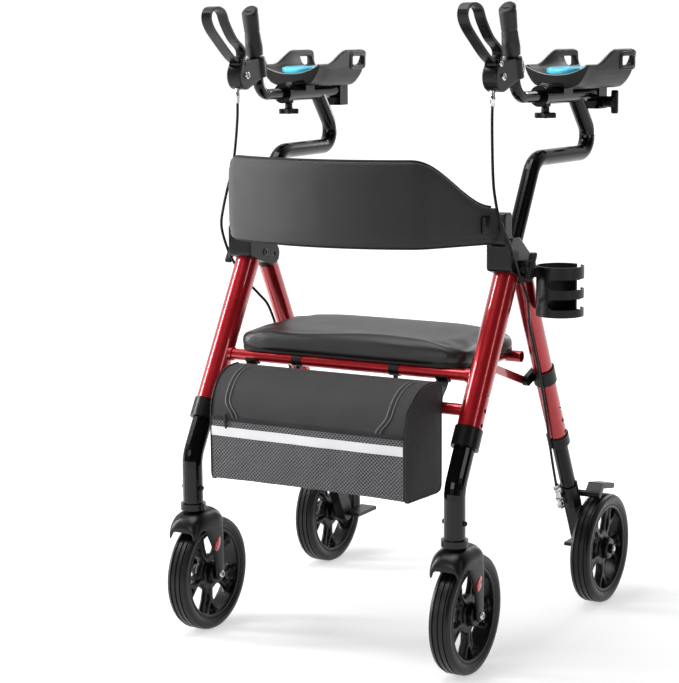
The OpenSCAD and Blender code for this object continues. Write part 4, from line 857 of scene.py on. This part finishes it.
def draw_bag(sizes):
    """Zipped bag: a stiffened cloth shell, a net front, a reflective strip, piping, zips and straps."""
    profile = bag_profile()
    shares = [k / 30 - 1 for k in range(61)]
    skin = [bag_point(s, y, z) for s in shares for y, z in profile]
    n = len(profile)
    faces = grid_faces(len(shares), n, wrap_cols=True)
    for start, s in ((0, -1), ((len(shares) - 1) * n, 1)):
        middle = Vector((s * 192.5, -232, 380))
        inner = [bag_point(s, y, z).lerp(middle, 0.35) + Vector((s * 1.2, 0, 0)) for y, z in profile]
        first = len(skin)
        skin += inner + [middle]
        for j in range(n):
            k = (j + 1) % n
            faces.append((start + j, start + k, first + k, first + j))
            faces.append((first + j, first + k, first + n))
    bag = make("bag_shell", skin, faces, "bag", "frame", "bag_fabric", 55)
    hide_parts("storage_bag")
    radius = sizes.piping_r / MM
    edges = [swept([bag_point(s * 0.995, y, z) for y, z in profile], ring(radius, 8), closed=True)
             for s in (-1, 1)]
    sewn("bag_piping", edges, "piping")
    net_top = sizes.mesh_top / MM
    front = [0.985 * (2 * k / 44 - 1) for k in range(45)]
    net_low = 297
    rise = [net_low + (net_top - net_low) * k / 16 for k in range(17)]
    net = [bag_point(s, BAG_FRONT, z, 0.7) for s in front for z in rise]
    sewn("bag_net", [(net, grid_faces(45, 17))], "net")
    hem = [bag_point(s, BAG_FRONT, net_top, 1.0) for s in front]
    sewn("bag_net_hem", [swept(hem, ring(1.2, 8, 3.0))], "webbing")
    high = sizes.strip_h / MM
    strip = [bag_point(s, BAG_FRONT, 370 + high * k / 4, 1.3 + 0.4 * (0 < k < 4)) for s in front for k in range(5)]
    sewn("bag_strip", [(strip, grid_faces(45, 5))], "tape")
    tapes = []
    cords = []
    zip_x = 158
    for s in (-1, 1):
        path = []
        for k in range(25):
            bend = 18 * (1 - ease(0, 0.35, 1 - k / 24)) ** 2
            path.append((s * (zip_x - bend) / BAG_HALF, *over_front(math.pi / 2 * k / 24)))
        for off, group, r, flat in ((0, tapes, 3.4, 0.3), (-4.2, cords, 0.9, 1.0), (4.2, cords, 0.9, 1.0)):
            line = [bag_point(x + off / BAG_HALF, y, z, 0.8) for x, y, z in path]
            group.append(swept(line, ring(r, 8, flat)))
    sewn("bag_zips", tapes, "webbing")
    sewn("bag_zip_cords", cords, "cord")
    pulls = []
    for k, drop in enumerate((0, 9)):
        y, z = over_front(1.5)
        top = bag_point(-zip_x / BAG_HALF, y, z - drop, 2.4)
        path = [top + Vector((0.5 * k, -1.2 * math.sin(j), -3.2 * j)) for j in range(6)]
        pulls.append(swept(path, ring(2.6, 10, 0.45)))
    sewn("bag_zip_pulls", pulls, "nylon")
    straps = []
    for x in (-120, 0, 120):
        loop = [(-180.8, 452), (-181.2, 441)]
        for k in range(2, 23):
            a = math.pi * (1.0 - k / 12)
            loop.append((CROSS_BAR[0] + 11.4 * math.cos(a), CROSS_BAR[1] + 11.4 * math.sin(a)))
        loop += [(-181.2, 419), (-180.8, 408)]
        straps.append(swept(curve([(x, y, z) for y, z in loop], 2), flat_section(12, 0.6)))
    sewn("bag_straps", straps, "webbing")
    # Clips under the seat's front tube carry the bag; the seat's board swings past them when it folds
    hangers = []
    for x in (-186, 186):
        turns = [math.radians(165 + 7 * k) for k in range(14)]
        hook = [Vector((x, SEAT_TUBE[0] + 12.2 * math.sin(a), SEAT_TUBE[1] + 12.2 * math.cos(a))) for a in turns]
        plate = [(-157.4, 473.4), (-161, 468.5), (-166, 462), (-173, 456), (-179, 450), (-180.6, 440)]
        plate = curve([(x, y, z) for y, z in plate], 4)
        hangers += [swept(path, flat_section(11, 1.3)) for path in (hook, plate)]
    make("bag_hangers", *joined(*hangers), "nylon", "frame", "black_plastic")


def tray_wall(t):
    """Height of the tray's wall along it."""
    return 33 + 25 * ease(0.18, 0.58, t)


def tray_inner(t, u):
    """Height of the tray's trough."""
    return 17 + (tray_wall(t) - 17) * abs(u) ** (2.2 + 2 * ease(0, 1, t))


def tray_rear(t, h):
    """Where a station of the tray lies along it, with the rear end cut on a slope."""
    return TRAY_LONG * t * (1 - 0.14 * ease(0.5, 1, t) * (1 - h / TRAY_TALL))


def in_tray(sign, *place):
    """A point in the tray's own lengths."""
    return at_arm(sign, *(a + b for a, b in zip(TRAY_CORNER, place)))


def round_wings(piece, sign):
    """Draws in the rear top corners of a tray's wings to a round corner."""
    corner = 20.0
    for vertex in piece.data.vertices:
        x, y, z = vertex.co / MM
        across = sign * x - LEG_X
        along = across * math.sin(ARM_TOE) + (y - ARM_TURN_Y) * math.cos(ARM_TOE) + ARM_TURN_Y - TRAY_CORNER[1]
        up = z - TRAY_CORNER[2]
        back = along - (tray_rear(1, up) - corner)
        over = up - (TRAY_TALL - corner)
        far = math.hypot(back, over)
        if back > 0 and over > 0 and far > corner:
            pull = corner / far
            y -= back * (1 - pull)
            z -= over * (1 - pull)
            vertex.co = Vector((x, y, z)) * MM


def draw_trays():
    """Gel pads, a raised pale grey bead along each tray edge and lip as a painted highlight, and strap slot
    frames.
    """
    edge_x = 56.6
    for side, sign in SIDES:
        armrest = side + "_armrest"
        us = spaced(28)
        top = []
        bottom = []
        for k in range(81):
            t = k / 80
            y = 6 + 164 * t
            dip = hump(t, 0.66, 0.07)
            end = abs(2 * t - 1)
            wide = 31 * (1 - 0.19 * dip) * max(math.sqrt(max(1 - end**9, 0)), 0.19)
            round_end = math.sqrt(max(1 - end**12, 0))
            upper = []
            lower = []
            for u in us:
                x = wide * u
                floor = tray_inner(y / TRAY_LONG, x / 60) + 0.6
                crown = 0.35 + 0.65 * math.sqrt(max(1 - u**6, 0)) * round_end
                thick = 11 * (1 - 0.35 * dip) * crown * (1 - 0.16 * hump(abs(u), 0.86, 0.05))
                upper.append(in_tray(sign, x, y, floor + thick))
                lower.append(in_tray(sign, x, y, floor))
            top.append(upper)
            bottom.append(lower)
        gel = make(side + "_gel", *shell(top, bottom), "gel", armrest, "gel", 50)
        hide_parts(side + "_gel_pad")
        highlight_beads = []
        frames = []
        for edge in (-1, 1):
            line = []
            for k in range(41):
                t = 0.9 * k / 40
                h = tray_wall(t)
                line.append(in_tray(sign, edge * edge_x, tray_rear(t, h), h - 0.1))
            highlight_beads.append(swept(line, ring(1.0, 8)))
            for half_y, half_z, r in ((25, 11, 2.8), (30, 15, 1.6)):
                line = [in_tray(sign, edge * 60.0, 158 + squared(c, 0.4) * half_y, 38.3 + squared(d, 0.4) * half_z)
                        for c, d in ring(1, 40)]
                frames.append(swept(line, ring(r, 8, 0.6), closed=True))
        lip = [in_tray(sign, edge_x * u, -0.2, tray_inner(0, u * 0.97) - 1.0) for u in spaced(40)]
        highlight_beads.append(swept(lip, ring(0.7, 8)))
        # These raised lines carry the pale trim finish, a painted highlight along the tray's edges and lip
        make(side + "_tray_highlight_bead", *joined(*highlight_beads), "trim", armrest, "black_plastic")
        make(side + "_tray_frames", *joined(*frames), "abs", armrest, "black_plastic")


def on_grip(sign, along, out_x=0.0, out_y=0.0):
    """A point from the grip's own axis."""
    y = HANDLE_CORNER[0] - math.sin(GRIP_LEAN) * along + math.cos(GRIP_LEAN) * out_y
    z = HANDLE_CORNER[1] + math.cos(GRIP_LEAN) * along + math.sin(GRIP_LEAN) * out_y
    return at_arm(sign, out_x, y, z)


def draw_grips():
    """Hand grips: a swelling under the thumb, two grooves and a slanted cap."""
    rows, sides = 41, 36
    for side, sign in SIDES:
        points = []
        for i in range(rows):
            share = i / (rows - 1)
            swell = 0.8 * hump(share, 0.16, 0.1) - 0.9 * hump(share, 0.5, 0.2)
            groove = hump(share, 0.47, 0.013) + hump(share, 0.88, 0.013)
            radius = 14.6 + swell - 1.1 * groove
            radius *= math.sqrt(max(1 - max((share - 0.94) / 0.07, 0) ** 4, 0.0))
            thumb = 2.2 * hump(share, 0.26, 0.07)
            for c, d in ring(1, sides):
                back = d * (radius + thumb * max(-d, 0) ** 3)
                tilt = 0.4 * ease(0.84, 1, share) * (radius - back)
                points.append(on_grip(sign, GRIP_LOW + 86 * share - tilt, c * radius, back))
        faces = grid_faces(rows, sides, wrap_cols=True)
        faces += [tuple(range(sides)), tuple((rows - 1) * sides + k for k in reversed(range(sides)))]
        grip = make(side + "_hand_grip", points, faces, "grip", side + "_handle_set", "grip_rubber", 50)
        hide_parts(side + "_grip")


# Fork arm stations: height, front edge, rear edge and outer face from the leg's plane
FORK_ARM = (
    (89, -213.5, -203.5, 28.5), (92, -217.5, -199.5, 29), (100, -220.5, -196.8, 29), (112, -221, -197, 29.2),
    (126, -223, -197, 29.6), (140, -226.5, -197.2, 30), (154, -232, -197.6, 30.6), (168, -240, -198.2, 31.4),
    (180, -248.5, -199, 32), (190, -257, -200.5, 32.4), (198, -262, -204, 32.2), (205, -262, -211, 31),
)
FORK_INNER = 22.2
# Moulded fittings: body, finish, voxel in millimetres and passes of easing
FITTINGS = {
    "joint": ("frame", "abs", 1.6, 4),
    "brake_housing": ("handle_set", "abs", 1.2, 6),
    "tray": ("armrest", "tray", 1.5, 4),
    "star_knob": ("star", "nylon", 1.0, 4),
    "post_knob": ("lock", "nylon", 1.0, 4),
    "tray_knob": ("wing", "nylon", 1.0, 4),
}


def fork_arm(sign, s):
    """One arm of a fork, on its outer or inner side."""
    rings = []
    for z, front, rear, out in FORK_ARM:
        middle, half = (front + rear) / 2, (rear - front) / 2
        thick = (out - FORK_INNER) / 2
        rings.append([
            at_leg(sign, s * (FORK_INNER + thick + squared(d, 0.6) * thick), middle + squared(c, 0.7) * half, z)
            for c, d in ring(1, 28)
        ])
    return stacked(rings)


def fork_hood(sign):
    """The fork's hood: a dome over the tyre with a low skirt on each side."""
    top_z = 223
    rings = []
    for k in range(33):
        y = -285.5 + 88 * k / 32
        front = 1 - min(max((-238 - y) / 48.5, 0), 1) ** 2.4
        back = 1 - min(max((y + 222) / 25.5, 0), 1) ** 2.6
        grow = math.sqrt(max(min(front, back), 0.03))
        top = top_z - (33 if y < -238 else 25) * (1 - grow)
        half = 19 + 13.8 * math.sqrt(grow)
        clear = 103.5 + math.sqrt(104**2 - (y - FRONT_AXLE[1]) ** 2)
        arch = min(max(clear, top - 13), top - 4)
        foot = min(190, clear, arch - 2)
        row = []
        for wide, high, power, turns in (
            (half, top, 0.75, range(25)),
            (min(22.4, half - 4), arch, 0.5, range(24, -1, -1)),
        ):
            for a in (math.pi * j / 24 for j in turns):
                z = foot + (high - foot) * math.sin(a) ** power
                row.append(at_leg(sign, wide * squared(math.cos(a), power), y, z))
        rings.append(row)
    return stacked(rings)


def rim_ribs(axle):
    """Hub dish, rim lip and five ribs that thicken a wheel's spokes."""
    dish = [(8, -8), (30, -6.5), (33, -4), (33, 4), (30, 6.5), (8, 8), (8, -8)]
    lip = [(74, -16), (81, -17), (81, 17), (74, 16), (76.5, 11), (76.5, -11), (74, -16)]
    shapes = [lathe(dish, axle, 60), lathe(lip, axle, 90)]
    for k in range(5):
        web = axle @ Matrix.Rotation(2 * math.pi * k / 5, 4, "Z")
        shapes.append(stacked([
            [web @ Vector((r, half * c, 5.5 * d)) for c, d in ring(1, 12)]
            for r, half in ((17, 6.5), (50, 4.5), (78, 9.5))
        ]))
    return shapes


def draw_mouldings():
    """Forks with flowing arms, spoked rims, and the rounded moulded fittings."""
    for side, sign in SIDES:
        bar = [at_leg(sign, x, *FRONT_AXLE[1:]) for x in (-30, -10, 10, 30)]
        stem = Matrix.Translation(at_leg(sign, 0, FRONT_STEM_Y, 0))
        neck = lathe([(0, 210), (17, 210), (16, 222.5), (0, 222.8)], stem, 36)
        shapes = [fork_hood(sign), swept(bar, ring(5.5, 24)), neck, fork_arm(sign, -1), fork_arm(sign, 1)]
        formed(side + "_fork_form", side + "_fork", shapes, 1.4, 7, "abs", side + "_caster", "satin_black", False)
        for end, place in (("front", FRONT_AXLE), ("rear", REAR_AXLE)):
            ribs = rim_ribs(facing(at_leg(sign, *place), (sign, 0, 0)))
            wheel = f"{side}_{end}"
            formed(wheel + "_rim_form", wheel + "_rim", ribs, 1.7, 4, "abs", wheel + "_wheel", "black_plastic")
        for node, (body, finish, voxel, passes) in FITTINGS.items():
            name = side + "_" + node
            piece = formed(name + "_form", name, (), voxel, passes, finish, body_of(side, body), "black_plastic")
            if node == "tray":
                round_wings(piece, sign)


FERRULE = ((0, 0), (3.2, 0), (4.3, 1), (4.3, 9), (5.0, 10), (5.0, 15), (4.3, 16), (4.3, 26), (0, 26))
ADJUSTER = (
    (0, -0.6), (3.6, -0.6), (4.9, 0.8), (4.9, 36), (4.3, 37), (4.3, 39), (4.9, 40), (4.9, 51), (3.2, 52.5)
)
ADJUSTER_LONG = 50
REFLECTOR_LEAN = math.radians(-24)


def fork_reflector(sign, s):
    """An oval reflector on one arm of a fork."""
    points = []
    for h, grow in ((0, 1.0), (1.4, 1.0), (2.2, 0.86)):
        for c, d in ring(1, 36):
            a, b = c * 7.5 * grow, d * 13 * grow
            y = -221 + a * math.cos(REFLECTOR_LEAN) - b * math.sin(REFLECTOR_LEAN)
            z = 158 + a * math.sin(REFLECTOR_LEAN) + b * math.cos(REFLECTOR_LEAN)
            points.append(at_leg(sign, s * (30.2 + h), y, z))
    return points, grid_faces(3, 36, wrap_cols=True) + [tuple(range(72, 108))]


def draw_hardware():
    """Bolts, nuts, ferrules, adjusters and reflectors."""
    for side, sign in SIDES:
        out, inward = (sign, 0, 0), (-sign, 0, 0)
        arm = side + "_handle_set"
        caster = side + "_caster"
        bolts = [
            bolt_shape(at_arm(sign, 13.5, -88, 966), out, 6.5, 3.0),
            bolt_shape(at_arm(sign, 13.5, -97, 987), out, 5.0, 2.4),
            bolt_shape(at_arm(sign, -13.5, -88, 966), inward, 6.5, 3.0),
        ]
        make(side + "_brake_bolts", *joined(*bolts), "steel", arm, "bright_steel")
        sleeve = lathe(FERRULE, facing(at_leg(sign, -8, -100, 918), (0, 0, 1)), 24)
        make(side + "_cable_ferrule", *sleeve, "steel", arm, "bright_steel")
        up = Vector((0, -math.sin(REAR_LEAN), math.cos(REAR_LEAN)))
        foot = at_leg(sign, *CABLE_ROUTE[-1]) - up * ADJUSTER_LONG
        nuts = [nut_shape(foot + up * (h - 0.3), up, 7.4, 5.6) for h in (0, 17.5, 40)]
        shape = joined(lathe(ADJUSTER, facing(foot, up), 24), *nuts)
        make(side + "_cable_adjuster", *shape, "steel", side + "_rear_stem", "bright_steel")
        bolts = [
            bolt_shape(at_leg(sign, -22.9, -40, 652), inward, 7.5, 1.1),
            bolt_shape(at_leg(sign, 23, -10, 646), out, 7.0, 3.0),
        ]
        make(side + "_joint_bolts", *joined(*bolts), "nylon", "frame", "black_plastic")
        pins = []
        ends = []
        for s, way in ((-1, inward), (1, out)):
            pins.append(bolt_shape(at_leg(sign, s * 18.4, FRONT_STEM_Y, 262), way, 4.2, 3.2))
            ends.append(bolt_shape(at_leg(sign, s * 29.2, *FRONT_AXLE[1:]), way, 6.5, 4))
        make(side + "_stem_pins", *joined(*pins), "nylon", side + "_front_stem", "black_plastic")
        make(side + "_front_axle_ends", *joined(*ends), "steel", caster, "bright_steel")
        cap = nut_shape(at_leg(sign, REAR_AXLE[0] + 21.2, *REAR_AXLE[1:]), out, 8.5, 6)
        make(side + "_rear_axle_nut", *cap, "steel", side + "_rear_wheel", "bright_steel")
        for s in (-1, 1):
            name = f"{side}_fork_reflector_{s + 2}"
            make(name, *fork_reflector(sign, s), "reflector", caster, "black_plastic")


# Stage, operators and panel

# Lamps: place and size in metres, and power in watts
LAMPS = (
    ("key_strip", (-2.8, -1.1, 1.5), (0.34, 2.4), 96),
    ("front_box", (-0.6, -3.4, 1.5), (1.2, 1.2), 22),
    ("side_strip", (2.7, -0.9, 1.4), (0.25, 2.2), 8),
    ("top_box", (-0.5, -0.6, 3.0), (1.8, 1.8), 62),
    ("back_strip", (0.3, 2.9, 1.7), (0.4, 2.2), 24),
)
LAMP_AIM = Vector((0, 0, 0.55))
CAMERA_LENS = 100.07
CAMERA_PLACE = (1.588, -2.894, 1.038)
# Turned round, tipped down from level and rolled
CAMERA_TURNS = (("Z", 30.285), ("X", 90 - 9.231), ("Z", -0.454))
WHITE = linear("FFFFFF")


def dress_nodes():
    """Gives every solid part its finish."""
    for name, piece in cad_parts.items():
        short = name.removeprefix("left_").removeprefix("right_")
        piece.data.materials.clear()
        piece.data.materials.append(FINISHES[FINISH_OF_NODE.get(short, "abs")])


def light_world(scene):
    """White for the camera; in gloss, the same white sheet behind the walker and a dim room before it."""
    world = bpy.data.worlds.new("white_surround")
    scene.world = world
    world.use_nodes = True
    tree = world.node_tree
    path = add(tree, "LightPath").node.outputs
    way = {0: add(tree, "TexCoord", out="Generated"), 1: (-0.5, 0.86, 0.0)}
    toward = add(tree, "VectorMath", way, "Value", operation="DOT_PRODUCT")
    levels = {"Value": toward, "From Min": -0.1, "From Max": 0.8, "To Min": 0.05, "To Max": 1.0}
    sheet = add(tree, "MapRange", levels)
    rays = {0: path["Is Glossy Ray"], 1: path["Is Transmission Ray"]}
    mirrored = add(tree, "Math", rays, operation="MAXIMUM")
    shown = add(tree, "Mix", {"Factor": mirrored, 2: 0.3, 3: sheet}, data_type="FLOAT")
    power = add(tree, "Math", {0: shown, 1: path["Is Camera Ray"]}, operation="MAXIMUM")
    wire(tree, tree.nodes["Background"], {"Color": WHITE, "Strength": power})


def lay_floor(scene):
    """White paper that fades to the white behind it and keeps the walker's shadow."""
    half = 30
    mesh = bpy.data.meshes.new("floor")
    mesh.from_pydata([(-half, -half, 0), (half, -half, 0), (half, half, 0), (-half, half, 0)], [], [(0, 1, 2, 3)])
    floor = bpy.data.objects.new("floor", mesh)
    scene.collection.objects.link(floor)
    material, tree, shader, place = varied(
        "white_seamless_paper", linear("C4C4C4"), 300, (0.985, 1.01), (0.85, 0.95),
        Specular_IOR_Level=0.1, Emission_Color=WHITE,
    )
    path = add(tree, "LightPath").node.outputs
    clear = {0: path["Is Camera Ray"], 1: path["Is Transmission Ray"]}
    both = {0: path["Is Glossy Ray"], 1: add(tree, "Math", clear, operation="MAXIMUM")}
    seen = add(tree, "Math", both, operation="ADD")
    far = add(tree, "VectorMath", {0: place}, "Value", operation="LENGTH")
    fade = {"Value": far, "From Min": 0.5, "From Max": 1.2, "To Min": 0.52, "To Max": 1.0}
    glow = add(tree, "MapRange", fade, interpolation_type="SMOOTHSTEP")
    wire(tree, shader, {"Emission Strength": add(tree, "Math", {0: glow, 1: seen}, operation="MULTIPLY")})
    mesh.materials.append(material)


def hang_lamps(scene):
    """Soft lamps, all aimed at the walker's middle."""
    for name, place, size, power in LAMPS:
        light = bpy.data.lights.new(name, "AREA")
        light.shape = "RECTANGLE"
        light.size, light.size_y = size
        light.energy = power
        lamp = bpy.data.objects.new(name, light)
        lamp.location = place
        lamp.rotation_euler = (LAMP_AIM - Vector(place)).to_track_quat("-Z", "Y").to_euler()
        scene.collection.objects.link(lamp)


def set_camera(scene):
    """The photo's camera, as fitted to it."""
    data = bpy.data.cameras.new("camera")
    data.lens = CAMERA_LENS
    data.sensor_width = 36
    data.clip_end = 100
    camera = bpy.data.objects.new("camera", data)
    stand = Matrix.Translation(CAMERA_PLACE)
    for axis, turn in CAMERA_TURNS:
        stand = stand @ Matrix.Rotation(math.radians(turn), 4, axis)
    camera.matrix_world = stand
    scene.collection.objects.link(camera)
    scene.camera = camera


class WALKER_OT_finishes(bpy.types.Operator):
    """Make all finishes and dress the solid parts."""

    bl_idname = "walker.finishes"
    bl_label = "Finishes"

    def execute(self, context):
        scene = context.scene
        FINISHES.update(make_finishes(scene.walker_colours, scene.walker_sizes))
        dress_nodes()
        return {"FINISHED"}


class WALKER_OT_stage(bpy.types.Operator):
    """Set up the floor, the light and the camera."""

    bl_idname = "walker.stage"
    bl_label = "Stage"

    def execute(self, context):
        scene = context.scene
        scene.view_settings.view_transform = "Standard"
        light_world(scene)
        lay_floor(scene)
        hang_lamps(scene)
        set_camera(scene)
        return {"FINISHED"}


class WALKER_OT_cables(bpy.types.Operator):
    """Draw the sheathed brake cables."""

    bl_idname = "walker.cables"
    bl_label = "Brake cables"

    def execute(self, context):
        draw_cables(context.scene.walker_sizes)
        return {"FINISHED"}


class WALKER_OT_seat(bpy.types.Operator):
    """Draw the padded seat."""

    bl_idname = "walker.seat"
    bl_label = "Seat cover"

    def execute(self, context):
        draw_seat(context.scene.walker_sizes)
        return {"FINISHED"}


class WALKER_OT_band(bpy.types.Operator):
    """Draw the backrest band."""

    bl_idname = "walker.band"
    bl_label = "Backrest band"

    def execute(self, context):
        draw_band(context.scene.walker_sizes)
        return {"FINISHED"}


class WALKER_OT_bag(bpy.types.Operator):
    """Draw the zipped bag."""

    bl_idname = "walker.bag"
    bl_label = "Bag"

    def execute(self, context):
        draw_bag(context.scene.walker_sizes)
        return {"FINISHED"}


class WALKER_OT_trays(bpy.types.Operator):
    """Draw the gel pads and the tray trim."""

    bl_idname = "walker.trays"
    bl_label = "Gel pads and tray trim"

    def execute(self, context):
        draw_trays()
        return {"FINISHED"}


class WALKER_OT_grips(bpy.types.Operator):
    """Draw the hand grips."""

    bl_idname = "walker.grips"
    bl_label = "Grips"

    def execute(self, context):
        draw_grips()
        return {"FINISHED"}


class WALKER_OT_mouldings(bpy.types.Operator):
    """Draw the forks, rims and moulded fittings."""

    bl_idname = "walker.mouldings"
    bl_label = "Mouldings"

    def execute(self, context):
        draw_mouldings()
        return {"FINISHED"}


class WALKER_OT_hardware(bpy.types.Operator):
    """Draw the bolts, nuts, ferrules, adjusters and reflectors."""

    bl_idname = "walker.hardware"
    bl_label = "Hardware"

    def execute(self, context):
        draw_hardware()
        return {"FINISHED"}


STEPS = ("finishes", "stage", "cables", "seat", "band", "bag", "trays", "grips", "mouldings", "hardware")


class WALKER_PT_panel(bpy.types.Panel):
    """Lists the walker's steps in the sidebar."""

    bl_idname = "WALKER_PT_panel"
    bl_label = "Upright walker"
    bl_space_type = "VIEW_3D"
    bl_region_type = "UI"
    bl_category = "Walker"

    def draw(self, context):
        for group in (context.scene.walker_colours, context.scene.walker_sizes):
            for key in group.__annotations__:
                self.layout.prop(group, key)
        for step in STEPS:
            self.layout.operator("walker." + step)


CLASSES = (
    WalkerColours, WalkerSizes, WALKER_OT_finishes, WALKER_OT_stage, WALKER_OT_cables, WALKER_OT_seat,
    WALKER_OT_band, WALKER_OT_bag, WALKER_OT_trays, WALKER_OT_grips, WALKER_OT_mouldings, WALKER_OT_hardware,
    WALKER_PT_panel,
)


def register():
    """Adds the classes and the scene's settings."""
    for item in CLASSES:
        bpy.utils.register_class(item)
    bpy.types.Scene.walker_colours = bpy.props.PointerProperty(type=WalkerColours)
    bpy.types.Scene.walker_sizes = bpy.props.PointerProperty(type=WalkerSizes)


def unregister():
    """Takes them away again."""
    del bpy.types.Scene.walker_sizes
    del bpy.types.Scene.walker_colours
    for item in reversed(CLASSES):
        bpy.utils.unregister_class(item)


def main():
    """Registers the add-on and runs its steps in order."""
    register()
    for step in STEPS:
        getattr(bpy.ops.walker, step)()


if __name__ == "__main__":
    main()
